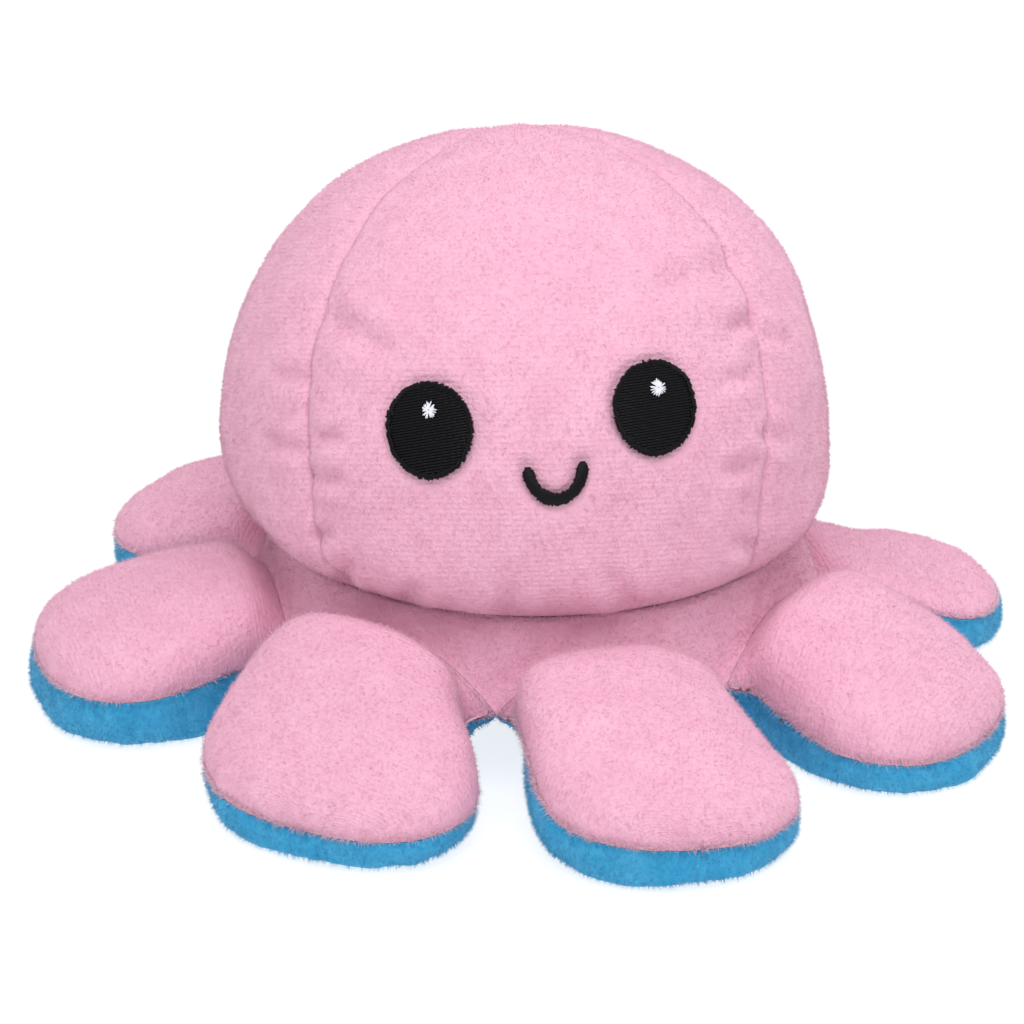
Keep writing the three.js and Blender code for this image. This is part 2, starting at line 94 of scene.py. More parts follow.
def direction(polar, azimuth):
    """The unit vector at a polar angle from +Z and an azimuth from -Y."""
    polar, azimuth = np.broadcast_arrays(polar, azimuth)
    flat = np.sin(polar)
    return np.stack([flat * np.sin(azimuth), -flat * np.cos(azimuth), np.cos(polar)], -1)


def ridge(gap, width, height):
    """A rounded ridge along a line, from the distance to it."""
    return height * bell(gap / width)


def beside_seam(amount, gap, reach, sewn):
    """An amount that falls off over a reach to the side of a seam. The seam itself holds it down."""
    return amount * np.exp(-gap / reach) * (1 - np.exp(-gap / sewn))


# The noise's lattice: how far it is shifted off zero, the whole numbers that scatter the bits of a
# place in it, and how far apart the lines of two seeds lie.
LATTICE_SHIFT, SEED_SPACING = 512.37, 37.1
PLACE_FACTORS, SEED_FACTOR, MIX_FACTOR = (73856093, 19349663, 83492791), 26544357, 1274126177


def lumps(points, size, seed):
    """Smooth noise from -1 to 1. Each corner of a lattice of that size in mm has a value hashed
    from its whole-number place, and the eight round a point are mixed by the smoothstep curve."""
    cell = np.asarray(points, float) / size + LATTICE_SHIFT
    base = np.floor(cell).astype(np.int64)
    part = smooth(cell - base)
    total = np.zeros(cell.shape[:-1])
    for corner in np.ndindex(2, 2, 2):
        place = (base + corner) * PLACE_FACTORS
        mixed = place[..., 0] ^ place[..., 1] ^ place[..., 2] ^ (seed * SEED_FACTOR)
        mixed = ((mixed ^ (mixed >> 13)) * MIX_FACTOR) & 0xFFFFFFF
        value = ((mixed ^ (mixed >> 11)) & 0xFFFF) / 32767.5 - 1
        total += value * np.prod(np.where(np.array(corner) == 1, part, 1 - part), axis=-1)
    return total


def ripple(length, size, seed):
    """The same noise along a line."""
    return lumps(np.stack([length, 0 * length + SEED_SPACING * seed, 0 * length], -1), size, seed)


# Meshes.
def new_piece(name, points, corners, sizes, rounded):
    """An object from points in millimetres, the corners of all its faces in a row, how many corners
    each face has, and which faces are shaded smooth."""
    mesh = bpy.data.meshes.new(name)
    mesh.vertices.add(len(points))
    mesh.vertices.foreach_set("co", (points * METRE).astype(np.float32).ravel())
    mesh.loops.add(len(corners))
    mesh.loops.foreach_set("vertex_index", corners.astype(np.int32))
    mesh.polygons.add(len(sizes))
    mesh.polygons.foreach_set("loop_start", (np.cumsum(sizes) - sizes).astype(np.int32))
    mesh.polygons.foreach_set("use_smooth", rounded)
    mesh.update(calc_edges=True)
    made = bpy.data.objects.new(name, mesh)
    bpy.context.scene.collection.objects.link(made)
    return made


def fill_mesh(name, points, quads, flat=None, caps=(), marks=None):
    """A piece from points and four-cornered faces. Corners at one place are merged, a face that loses
    a corner becomes a triangle, and all faces are turned over if the signed volume is negative."""
    points = np.asarray(points, float).reshape(-1, 3)
    flat = np.zeros(len(quads), bool) if flat is None else flat
    key = np.round(points * MERGED_PER_MM).astype(np.int64)
    _, first, back = np.unique(key, axis=0, return_index=True, return_inverse=True)
    back = back.reshape(-1)
    points = points[first]
    quads = back[quads]
    same = quads == np.roll(quads, -1, 1)
    whole, cut = ~same.any(1), same.sum(1) == 1
    groups = [quads[whole], quads[cut][~same[cut]].reshape(-1, 3)]
    flats = [flat[whole], flat[cut]]
    for cap in caps:
        ring = back[cap]
        ring = ring[ring != np.roll(ring, -1)]
        if len(ring) > 2:
            groups.append(ring[None])
            flats.append(np.ones(1, bool))
    volume = sum(
        np.einsum("ij,ij->", points[g[:, 0]], np.cross(points[g[:, i]], points[g[:, i + 1]]))
        for g in groups for i in range(1, g.shape[1] - 1)
    )
    groups = [g if volume > 0 else g[:, ::-1] for g in groups]
    corners = np.concatenate([g.ravel() for g in groups])
    sizes = np.concatenate([np.full(len(g), g.shape[1]) for g in groups])
    made = new_piece(name, points, corners, sizes, ~np.concatenate(flats))
    for mark, values in (marks or {}).items():
        layer = made.data.attributes.new(mark, "FLOAT", "POINT")
        layer.data.foreach_set("value", values.reshape(-1)[first].astype(np.float32))
    return made


def net(name, rows, along=False, rim=(), marks=None):
    """Faces between neighbouring rows of points. Each row closes on itself, and with along the last
    row joins the first. Otherwise each end is closed by one face, or by its own single point."""
    count, columns = rows.shape[:2]
    index = np.arange(count * columns).reshape(count, columns)
    ends = () if along else (index[0][::-1], index[-1])
    if along:
        index = np.vstack([index, index[:1]])
    beside = np.roll(index, -1, 1)
    quads = np.stack([index[:-1], beside[:-1], beside[1:], index[1:]], -1)
    flat = np.zeros(quads.shape[:2], bool)
    flat[:, list(rim)] = True
    return fill_mesh(name, rows, quads.reshape(-1, 4), flat.ravel(), ends, marks)


def cloth_piece(name, outer, inner, along=False, marks=None):
    """One layer of cloth: each row runs along the outer face and back along the inner one, which
    needs only every fourth column."""
    columns = outer.shape[1]
    kept = np.unique(np.r_[np.arange(0, columns, INNER_STEP), columns - 1])[::-1]
    rows = np.concatenate([outer, inner[:, kept]], 1)
    if marks:
        marks = {mark: np.concatenate([v, v[:, kept]], 1) for mark, v in marks.items()}
    return net(name, rows, along, (columns - 1, columns + len(kept) - 1), marks)


def grid_normals(grid, closed=False):
    """Unit normals by the cross product of the differences down and across the grid. They point
    outward on the head and up on the arms. A row that is one point takes its neighbour's mean."""
    down = np.gradient(grid, axis=0)
    across = (np.roll(grid, -1, 1) - np.roll(grid, 1, 1)) / 2 if closed else np.gradient(grid, axis=1)
    normals = unit(np.cross(down, across))
    for row, beside in ((0, 1), (-1, -2)):
        if np.ptp(grid[row], axis=0).max() < 1e-6:
            normals[row] = unit(normals[beside].mean(0))
    return normals


def lengths_along(grid, axis):
    """Distance walked along the grid from its first row or column."""
    steps = np.linalg.norm(np.diff(grid, axis=axis), axis=-1)
    start = np.zeros_like(np.take(steps, [0], axis))
    return np.concatenate([start, np.cumsum(steps, axis)], axis)


def near_line(points, line):
    """For each point, its distance to the nearest point of a line and how far along the line that is."""
    flat = points.reshape(-1, 3)
    walked = np.r_[0, np.cumsum(np.linalg.norm(np.diff(line, axis=0), axis=1))]
    squared = (flat ** 2).sum(1)[:, None] + (line ** 2).sum(1) - 2 * flat @ line.T
    nearest = squared.argmin(1)
    gap = np.sqrt(np.maximum(squared[np.arange(len(flat)), nearest], 0))
    return gap.reshape(points.shape[:-1]), walked[nearest].reshape(points.shape[:-1])


def crease(points, start, end, width, depth):
    """A fold pressed along a line: a valley with a low shoulder on each side. It goes on past both
    ends by 15% of the line's length, and fades over 45% of it."""
    beyond, fading = 0.15, 0.45
    way = end - start
    share = ((points - start) @ way) / (way @ way)
    gap = np.linalg.norm(points - start - np.clip(share, 0, 1)[..., None] * way, axis=-1)
    fade = smooth(np.minimum(share + beyond, 1 + beyond - share) / fading)
    shoulder = ridge(gap - 2.1 * width, 1.1 * width, height=0.55)
    return depth * fade * (shoulder - bell(gap / width))


# Cloth under pressure, simulated at ten times its real size. The steps lead from the grids of the
# head and the arms to the coarser ones that are simulated.
SWELL_SCALE = 10 * METRE
SWELL_FRAMES, SWELL_PRESSURE, CLOTH_EXCESS, MOST_SWELL = 20, 4.0, 0.06, 2.6
HEAD_STEP, ARM_STEP = 3, 2


def refine(values, step, axis, closed):
    """Values between those of a coarse grid, mixed linearly along one axis."""
    if closed:
        values = np.concatenate([values, np.take(values, [0], axis)], axis)
    place = np.arange((values.shape[axis] - 1) * step + (not closed)) / step
    low = np.minimum(place.astype(int), values.shape[axis] - 2)
    part = (place - low).reshape([-1 if k == axis else 1 for k in range(values.ndim)])
    return mix(np.take(values, low, axis), np.take(values, low + 1, axis), part)


def soften(values, closed):
    """Each value mixed with its neighbours along both axes, half its own and a quarter of each."""
    for axis in (0, 1):
        pads = [(1, 1) if k == axis else (0, 0) for k in range(values.ndim)]
        wide = np.pad(values, pads, "wrap" if closed and axis == 1 else "edge")
        count = values.shape[axis]
        values = sum(w * np.take(wide, np.arange(count) + k, axis) for k, w in enumerate((0.25, 0.5, 0.25)))
    return values


def swell(parts):
    """How far the padding pushes the cloth of each part, given as its grid, the points that are free,
    the step to a coarse grid and whether it closes. The cloth is 6% larger than its frame, held at
    its seams and blown up by a light pressure for twenty frames, at ten times its real size. No point
    may move more than 2.6 mm."""
    points, quads, held, start = [], [], [], 0
    for grid, free, step, closed in parts:
        coarse, loose = grid[::step, ::step], free[::step, ::step]
        index = np.arange(loose.size).reshape(loose.shape) + start
        beside, index_row = (np.roll(index, -1, 1), index) if closed else (index[:, 1:], index[:, :-1])
        corners = [index_row[:-1], index_row[1:], beside[1:], beside[:-1]]
        quads.append(np.stack(corners, -1).reshape(-1, 4))
        points.append(coarse.reshape(-1, 3))
        held.append(index.ravel()[~loose.ravel()])
        start += loose.size
    points = np.concatenate(points)
    mesh = bpy.data.meshes.new("loose_cloth")
    mesh.from_pydata((points * SWELL_SCALE).tolist(), [], np.concatenate(quads).tolist())
    sheet = bpy.data.objects.new("loose_cloth", mesh)
    bpy.context.scene.collection.objects.link(sheet)
    sheet.vertex_groups.new(name="held").add(np.concatenate(held).tolist(), 1.0, "REPLACE")
    cloth = sheet.modifiers.new("cloth", "CLOTH")
    cloth.settings.vertex_group_mass = "held"
    cloth.settings.use_pressure, cloth.settings.uniform_pressure_force = True, SWELL_PRESSURE
    cloth.settings.shrink_min, cloth.settings.effector_weights.gravity = -CLOTH_EXCESS, 0.0
    cloth.collision_settings.use_collision = False
    cloth.point_cache.frame_start, cloth.point_cache.frame_end = 1, SWELL_FRAMES
    for moment in range(1, SWELL_FRAMES + 1):
        bpy.context.scene.frame_set(moment)
    blown = sheet.evaluated_get(bpy.context.evaluated_depsgraph_get())
    after = np.empty(points.size, np.float32)
    blown.data.vertices.foreach_get("co", after)
    bpy.context.scene.frame_set(1)
    bpy.data.objects.remove(sheet)
    bpy.data.meshes.remove(mesh)
    moved = after.reshape(-1, 3) / SWELL_SCALE - points
    length = np.linalg.norm(moved, axis=1, keepdims=True)
    moved *= np.minimum(1, MOST_SWELL / np.maximum(length, 1e-6))
    results, start = [], 0
    for grid, free, step, closed in parts:
        shape = free[::step, ::step].shape
        part = moved[start:start + shape[0] * shape[1]].reshape(*shape, 3)
        start += shape[0] * shape[1]
        results.append(soften(refine(refine(part, step, 0, False), step, 1, closed), closed))
    return results


# The head.
def head_point(way):
    """A rounded dome: radius 63.5 sin(polar)^0.89 and rise 64 cos(polar)^0.89, drawn in to the neck
    below the widest row by the cube of the share of the way down, and leaning to one side."""
    polar = np.arccos(np.clip(way[..., 2], -1, 1))
    azimuth = np.arctan2(way[..., 0], -way[..., 1])
    rise = HEAD_HALF_HEIGHT * signed_power(np.cos(polar), HEAD_ROUND)
    tuck = np.clip((polar - np.pi / 2) / (NECK_POLAR - np.pi / 2), 0, 1) ** 3
    free = HEAD_RADIUS * np.sin(NECK_POLAR) ** HEAD_ROUND
    radius = HEAD_RADIUS * np.sin(polar) ** HEAD_ROUND - (free - NECK_RADIUS) * tuck
    above = HEAD_CENTRE - NECK_HEIGHT
    lean = HEAD_LEAN * smooth((rise + above) / above)
    return np.stack([radius * np.sin(azimuth) - lean, -radius * np.cos(azimuth), HEAD_CENTRE + rise], -1)


def on_head(polar, azimuth):
    """A point of the head from two angles in degrees."""
    return head_point(direction(polar * DEGREE, azimuth * DEGREE))


def face_frame():
    """The middle direction of the face, and its level and upright directions, rolled a little."""
    middle, level = direction(FACE_POLAR, 0.0), np.array([1.0, 0, 0])
    upward = np.cross(middle, level)
    across = level * np.cos(FACE_ROLL) + upward * np.sin(FACE_ROLL)
    return middle, across, upward * np.cos(FACE_ROLL) - level * np.sin(FACE_ROLL)


def face_place(way):
    """How far along the head a direction is from the face's middle, to the side and upward."""
    middle, across, raised = face_frame()
    turn = np.arccos(np.clip(way @ middle, -1, 1))
    scale = HEAD_RADIUS * turn / np.maximum(np.sin(turn), 1e-6)
    return scale * (way @ across), scale * (way @ raised)


def face_point(side, up, lift):
    """A point of the face, at distances along the head to the side of its middle and above it. It is
    raised off the cloth by lift."""
    middle, across, raised = face_frame()
    away = np.maximum(np.hypot(side, up), 1e-9)[..., None]
    bearing = (side[..., None] * across + up[..., None] * raised) / away
    way = middle * np.cos(away / HEAD_RADIUS) + bearing * np.sin(away / HEAD_RADIUS)
    point = head_point(way)
    return point + unit(point - (0, 0, HEAD_CENTRE)) * np.asarray(lift)[..., None]


# Folds of the head, each from one pair of polar angle and azimuth to another, then width and depth.
HEAD_FOLDS = [
    (53.6, -56.0, 58.1, -30.2, 2.6, 1.0), (76.0, -47.2, 74.1, -39.1, 1.5, 0.8),
    (83.3, -47.5, 81.4, -38.2, 1.7, 0.9), (92.4, -47.1, 89.7, -40.3, 1.6, 0.8),
    (101.0, -46.0, 93.4, -37.1, 1.8, 0.8), (46.2, 24.9, 46.7, 64.7, 2.8, 0.9),
    (57.1, 55.0, 56.5, 43.9, 1.7, 0.8), (66.6, 47.8, 64.9, 38.1, 1.6, 0.7),
    (82.1, 44.5, 80.6, 35.0, 1.8, 0.9), (95.5, 44.3, 91.6, 36.7, 1.6, 0.7),
    (101.0, 16.9, 92.0, 9.9, 2.2, 0.7), (101.0, -8.9, 94.0, -7.2, 2.0, 0.6),
    (101.0, -31.3, 94.5, -23.9, 2.0, 0.7), (78.8, -48.9, 80.7, -61.6, 1.8, 0.7),
    (66.2, -50.2, 69.1, -63.1, 1.8, 0.6), (76.3, 45.8, 80.8, 55.0, 1.8, 0.7),
    (59.3, 53.8, 65.5, 63.3, 1.8, 0.7),
]
FOLD_STRENGTH = 1.5

# Broad places where the head is less full: polar angle and azimuth, then width and depth in mm. The
# last is fuller instead.
HEAD_HOLLOWS = [
    (55.0, -78.0, 26.0, 0.9), (72.0, 88.0, 11.0, 1.1), (105.0, 82.0, 12.0, 3.0), (30.0, -85.0, 14.0, 0.7),
    (47.0, 85.0, 13.0, -1.4),
]


def head_ways(azimuth, row_count):
    """Directions from the crown down to the neck at each azimuth, at even turns of the great circle."""
    crown, ends = direction(CROWN_TILT, np.pi), direction(NECK_POLAR, azimuth)
    arc = np.arccos(ends @ crown)
    share = np.linspace(0, 1, row_count + 1)[:, None]
    return unit(np.sin((1 - share) * arc)[..., None] * crown + np.sin(share * arc)[..., None] * ends)


def head_azimuths():
    """The azimuth of each column of the head. Each panel has the same number of columns."""
    return np.interp(np.arange(4 * PANEL_COLUMNS) / PANEL_COLUMNS, np.arange(5), SEAMS)


def covered_by_stitches(way):
    """How much of the cloth in each direction lies under embroidery, from 0 to 1."""
    side, up = face_place(way)
    covered = np.zeros(side.shape)
    for middle in EYE_MIDDLES:
        reach = np.hypot((side - middle) / (EYE_WIDTH / 2), up / (EYE_HEIGHT / 2))
        covered = np.maximum(covered, 1 - smooth((reach - 1.0) / 0.2))
    *_, smile = face_outlines()
    gap, _ = near_line(head_point(way), smile)
    return np.maximum(covered, 1 - smooth((gap - SMILE_STROKE / 2) / 1.5))


def head_part():
    """The head's smooth form for the cloth simulation, held at its seams and under the embroidery."""
    way = head_ways(head_azimuths(), HEAD_ROWS)
    free = covered_by_stitches(way) < 0.2
    free[(0, -1), :] = False
    free[:, ::PANEL_COLUMNS] = False
    return head_point(way), free, HEAD_STEP, True


def seam_distances(ring):
    """How far each point of the head is from the nearest seam, and which seam that is, from the
    distances walked round each row."""
    gap, side = np.zeros(ring[:, :-1].shape), np.zeros(ring[:, :-1].shape)
    for panel in range(4):
        columns = slice(panel * PANEL_COLUMNS, (panel + 1) * PANEL_COLUMNS)
        left = ring[:, columns] - ring[:, [panel * PANEL_COLUMNS]]
        right = ring[:, [(panel + 1) * PANEL_COLUMNS]] - ring[:, columns]
        gap[:, columns] = np.minimum(left, right)
        side[:, columns] = (panel + (right < left)) % 4
    return gap, side


def head_relief(grid, down):
    """How far the head's cloth is raised, given also the distances walked down it. The four seams are
    drawn in, the cloth puckers beside them and gathers at the neck, and it has lumps and folds."""
    fullness, seam_apart = 0.35, 97
    ring = lengths_along(np.concatenate([grid, grid[:, :1]], 1), 1)
    seam_gap, side = seam_distances(ring)
    along = down + seam_apart * side
    pucker = ripple(along, 6.5, 3) + 0.6 * ripple(along, 3.1, 5)
    raised = fullness - ridge(seam_gap, width=1.2, height=0.75) - ridge(seam_gap, width=6, height=0.75)
    raised += ridge(down, width=3.5, height=0.2)
    raised += beside_seam(0.5 * pucker, seam_gap, reach=6, sewn=1.2)
    gathers = ripple(ring[:, :-1], 7.5, 7) + 0.5 * ripple(ring[:, :-1], 3.5, 8)
    raised += beside_seam(0.7 * gathers, down[-1] - down, reach=8, sewn=1.5)
    raised += 0.8 * lumps(grid, 17, 11) + 0.3 * lumps(grid, 7, 12)
    for polar, turn, other_polar, other_turn, width, depth in HEAD_FOLDS:
        start, end = on_head(polar, turn), on_head(other_polar, other_turn)
        raised += FOLD_STRENGTH * crease(grid, start, end, width, depth)
    for polar, turn, width, depth in HEAD_HOLLOWS:
        raised -= ridge(np.linalg.norm(grid - on_head(polar, turn), axis=-1), width, depth)
    return raised


def head_cloth(pushed):
    """The whole head as one closed grid, from the crown to the neck. It lies flat under the
    embroidery, whose edge pulls it in, and the filling has pushed it out as given."""
    stitched_depth, pulled_depth = 0.3, 0.35
    way = head_ways(head_azimuths(), HEAD_ROWS)
    grid = head_point(way)
    down = lengths_along(grid, 0)
    pressed, covered = np.zeros(grid.shape[:2]), covered_by_stitches(way)
    *eyes, smile = face_outlines()
    for outline in eyes:
        pressed = np.maximum(pressed, bell(near_line(grid, outline)[0] / 1.5))
    gap, _ = near_line(grid, smile)
    pressed = np.maximum(pressed, bell(np.maximum(gap - SMILE_STROKE / 2, 0) / 1.3))
    loose = (1 - np.exp(-(down[-1] - down) / 2.5)) * (1 - covered)
    raised = head_relief(grid, down) * loose - stitched_depth * covered - pulled_depth * pressed
    grid = grid + grid_normals(grid, True) * raised[..., None]
    grid += pushed * loose[..., None]
    bare = np.maximum(1 - np.clip(pressed * 0.9, 0, 1) - covered, 0)
    return grid, grid_normals(grid, True), {"pressed": pressed, "course": down}, bare


def face_outlines():
    """The edges of the two eyes and the line of the smile, where the stitches pull the cloth in."""
    turn = np.linspace(0, 2 * np.pi, 120)
    for middle in EYE_MIDDLES:
        yield face_point(middle + EYE_WIDTH / 2 * np.sin(turn), EYE_HEIGHT / 2 * np.cos(turn), 0 * turn)
    bend = np.linspace(-np.pi / 2, np.pi / 2, 60)
    side = SMILE_SHIFT + SMILE_WIDTH / 2 * np.sin(bend)
    yield face_point(side, -SMILE_DROP - SMILE_DEPTH * np.cos(bend), 0 * bend)


# The embroidery.
def threads(name, paths, sideways, outward, half_width, height):
    """Many stitches in one mesh. Each follows a row of points and has a half-round section of the
    given half width and height, closed below. Its two ends come to a point."""
    root_depth = 0.2
    reach = np.linspace(-1, 1, paths.shape[1])
    end = np.sqrt(np.maximum(1 - np.abs(reach) ** 8, 0))[None, :, None, None]
    turns = np.linspace(0, np.pi, 5)[:, None]
    rise = np.sin(turns) * (height * outward)[:, :, None]
    ring = half_width * np.cos(turns) * sideways[:, :, None] + rise
    ring = np.concatenate([ring, -root_depth * outward[:, :, None]], 2) * end
    points = paths[:, :, None] + ring
    index = np.arange(points[..., 0].size).reshape(points.shape[:-1])
    beside = np.roll(index, -1, 2)
    quads = np.stack([index[:, :-1], beside[:, :-1], beside[:, 1:], index[:, 1:]], -1)
    return fill_mesh(name, points, quads.reshape(-1, 4))


def stitched(name, side, up, lift, half_width, height):
    """Stitches on the face, from the places of their points to the side of its middle and above it.
    Their sideways direction lies in the cloth, square to each stitch."""
    paths = face_point(side, up, lift)
    outward = unit(paths - (-HEAD_LEAN, 0, HEAD_CENTRE))
    sideways = unit(np.cross(np.gradient(paths, axis=1), outward))
    return threads(name, paths, sideways, outward, half_width, height)


def eye_stitches(name, middle, seed):
    """Level rows of fill stitches 0.56 mm apart, which rise a little to the right, and a border of
    short stitches that point outward from the eye's middle. The fill dips where one stitch ends and
    the next begins, about every 4 mm, staggered from row to row."""
    chance = np.random.default_rng(seed)
    wide, high, border = EYE_WIDTH / 2, EYE_HEIGHT / 2, 1.3
    row_spacing, row_slope, stitch_length, stagger, count = 0.56, 0.05, 4.1, 1.37, 150
    inner_wide, inner_high = wide - 0.15 * border, high - 0.15 * border
    up = np.arange(-inner_high + 0.3, inner_high - 0.2, row_spacing)[:, None]
    side = inner_wide * np.sqrt(1 - (up / inner_high) ** 2) * np.linspace(-1, 1, 61)[None]
    row = np.arange(len(up))[:, None]
    place = (side + stagger * row + 0.4 * chance.random((len(up), 1))) % stitch_length
    lift = 0.56 - ridge(place - stitch_length / 2, width=0.22, height=0.16)
    up = up + row_slope * side
    fill = stitched(f"{name}_fill", middle + side, up, lift, half_width=0.34, height=0.52)
    turn = np.arange(count)[:, None] * 2 * np.pi / count
    reach = np.linspace(0, 1, 7)[None]
    out = wide + 0.13 * chance.normal(size=(count, 1))
    grow = (out - border) / wide + reach * border / wide
    side, up = middle + grow * wide * np.sin(turn), grow * high * np.cos(turn)
    lift = 0.45 + 0.5 * np.sqrt(1 - (2 * reach - 1) ** 2) + 0 * turn
    edge = stitched(f"{name}_border", side, up, lift, half_width=0.23, height=0.3)
    return fill, edge


def glint_stitches(name, middle, seed):
    """White stitches that fan out from the middle of the highlight, in a low dome."""
    chance = np.random.default_rng(seed)
    count = 26
    turn = np.arange(count)[:, None] * 2 * np.pi / count + 0.1 * chance.normal(size=(count, 1))
    reach = np.linspace(0.02, 0.86, 8)[None] * (1 + 0.13 * chance.normal(size=(count, 1)))
    side, up = GLINT_WIDTH / 2 * reach * np.sin(turn), GLINT_HEIGHT / 2 * reach * np.cos(turn)
    lift = 1.35 - 0.35 * reach ** 2 + 0.1 * chance.random((count, 1))
    side, up = middle + GLINT_SHIFT + side, GLINT_RISE + up
    return stitched(name, side, up, lift, half_width=0.13, height=0.2)


def smile_stitches(seed):
    """Satin stitches 0.3 mm apart across the line of the smile, in a low dome. Its ends are rounded
    over 1.2 mm, on a bend of about 5.7 mm radius."""
    chance = np.random.default_rng(seed)
    count, half_bend, round_bend, bend_radius, end_length = 62, 1.62, 1.64, 5.7, 1.2
    bend = half_bend * np.linspace(-1, 1, count)[:, None]
    left = np.clip(bend_radius * (round_bend - np.abs(bend)) / end_length, 0.14, 1)
    reach = SMILE_STROKE / 2 + 0.14 * left * chance.normal(size=(count, 1))
    across = np.linspace(-1, 1, 11)[None] * (reach * np.sqrt(1 - (1 - left) ** 2))
    side = SMILE_SHIFT + (SMILE_WIDTH / 2 + across) * np.sin(bend)
    up = -SMILE_DROP - (SMILE_DEPTH + across) * np.cos(bend)
    ends = np.sqrt(0.3 + 0.7 * left)
    lift = 0.25 + 0.75 * ends * np.sqrt(np.maximum(1 - (across / (SMILE_STROKE / 2 + 0.35)) ** 2, 0))
    return stitched("smile_stitches", side, up, lift, half_width=0.26, height=0.25)


# The arms.
def arm_azimuth(number):
    return ARM_TWIST + HALF_SECTOR * (2 * number - 3)


def turn_to_arm(points, number):
    """From an arm's own frame, whose x axis points outward along it, into the whole toy's. Beyond its
    root the arm is swung aside a little."""
    swing = ARM_TURNS[number - 1] * DEGREE * smooth((points[..., 0] - HINGE) / 25)
    turn = arm_azimuth(number) - np.pi / 2 + swing
    x, y, z = points[..., 0], points[..., 1], points[..., 2]
    return np.stack([x * np.cos(turn) - y * np.sin(turn), x * np.sin(turn) + y * np.cos(turn), z], -1)


# How each arm of the toy differs from the even form. In degrees, how far it is turned aside. In
# proportion, how wide it is. In mm: longer, bowed to its left at the middle, its tip seam higher, its
# right edge lower and its left edge higher, plumper beyond the root, its root higher, and the depth of
# the crease there.
ARM_TURNS = (4.4, 2.1, -0.4, -2.0, 5.0, 1.0, -3.3, -1.1)
ARM_WIDENINGS = (1.08, 0.97, 0.92, 0.9, 0.94, 0.97, 1.0, 1.01)
ARM_EXTRA_LENGTHS = (-1.6, 3.1, -0.5, -4.4, -4.0, 0.8, -1.8, 1.2)
ARM_BOWS = (3.2, 1.3, 0.0, 0.0, 0.0, 0.0, 0.0, 0.0)
ARM_TIP_RISES = (-1.9, -0.4, -1.6, -1.0, 0.0, -0.5, 2.4, 2.3)
ARM_ROLLS = (1.4, 5.6, -1.4, 2.2, 0.0, 0.0, 0.0, 0.0)
ARM_PUFFS = (6.0, 3.5, 3.6, 0.5, 2.0, 2.5, 2.0, 1.0)
ARM_CRESTS = (0.0, 0.0, -0.8, -9.2, -6.0, -3.0, -3.2, -0.8)
ARM_CREASES = (3.0, 3.2, 4.4, 3.0, 3.0, 3.0, 3.6, 4.4)

# Where along an arm, as shares of its length, its roll, its widest place, its plumpness and the level
# part of its underside begin or fade, and the exponents of its rounded forms.
ROLL_START, ROLL_FADE, WIDEST, NOTCH_FADE = 0.28, 0.4, 0.5, 0.5
PUFF_START, PUFF_FADE, LEVEL_REACH, ARCH_REACH = 0.2, 0.75, 0.45, 0.18
SEAM_FALL, TIP_ROUND, CROWN_FALL, SOLE_FALL, ARCH_ROUND = 1.6, 2.3, 2.6, 6.5, 2.2
RIM_HEIGHT = 2.3


def end_fall(share, exponent):
    """From 1 down to 0 at the end, as the quarter of a rounded form."""
    return np.maximum(1 - share ** exponent, 0) ** (1 / exponent)


def seam_height(share, side, number):
    """From the notch's height at the root down to the tip's. The side, in mm from the arm's middle, is
    raised or lowered as the arm is rolled."""
    rolled = ARM_ROLLS[number - 1] * side / ARM_HALF_WIDTH * smooth(share / ROLL_START)
    rolled = rolled * (1 - 0.7 * smooth((share - ROLL_FADE) / ROLL_FADE))
    tip = TIP_HEIGHT + ARM_TIP_RISES[number - 1]
    return mix(tip, NOTCH_HEIGHT, np.clip(1 - share, 0, 1) ** SEAM_FALL) - rolled


def half_width(share):
    """Widens to the middle as a parabola, then closes as a rounded end."""
    near = mix(ARM_HALF_WIDTH, CORNER, (np.clip(WIDEST - share, 0, 1) / WIDEST) ** 2)
    far = ARM_HALF_WIDTH * end_fall(np.clip(share - WIDEST, 0, 1) / (1 - WIDEST), TIP_ROUND)
    return np.where(share < WIDEST, near, far)


def arm_side_way(share, across, number):
    """The distance to the side of an arm's middle. Next to the root its outer part gives way to the
    rounded notch between two arms: a quarter ellipse that fades towards the middle."""
    notch = np.sqrt(1 - (1 - np.clip(share / NOTCH_REACH, 0, 1)) ** 2)
    notch = notch * (1 - smooth((share - NOTCH_REACH) / NOTCH_FADE))
    wider = mix(1, ARM_WIDENINGS[number - 1], smooth((share - 0.1) / 0.4))
    bow = ARM_BOWS[number - 1] * np.sin(np.pi * share ** 0.6)
    return half_width(share) * across * wider - NOTCH_ROUNDING * notch * across ** 5 - bow


def top_height(share, across, number):
    """The seam's height, plus a rise that is an arch across the arm and falls to nothing at its end.
    The filling pushes it up a little more beyond the crease at the root."""
    arch = np.maximum(1 - np.abs(across) ** ARCH_ROUND, 0) ** mix(0.9, 0.42, smooth(share / ARCH_REACH))
    puff = ARM_PUFFS[number - 1] * smooth(share / PUFF_START)
    puff = puff * (1 - smooth((share - PUFF_START) / PUFF_FADE))
    crest = CREST - NOTCH_HEIGHT + ARM_CRESTS[number - 1]
    seam = seam_height(share, half_width(share) * across, number)
    return seam + (crest * end_fall(share, CROWN_FALL) + puff) * arch


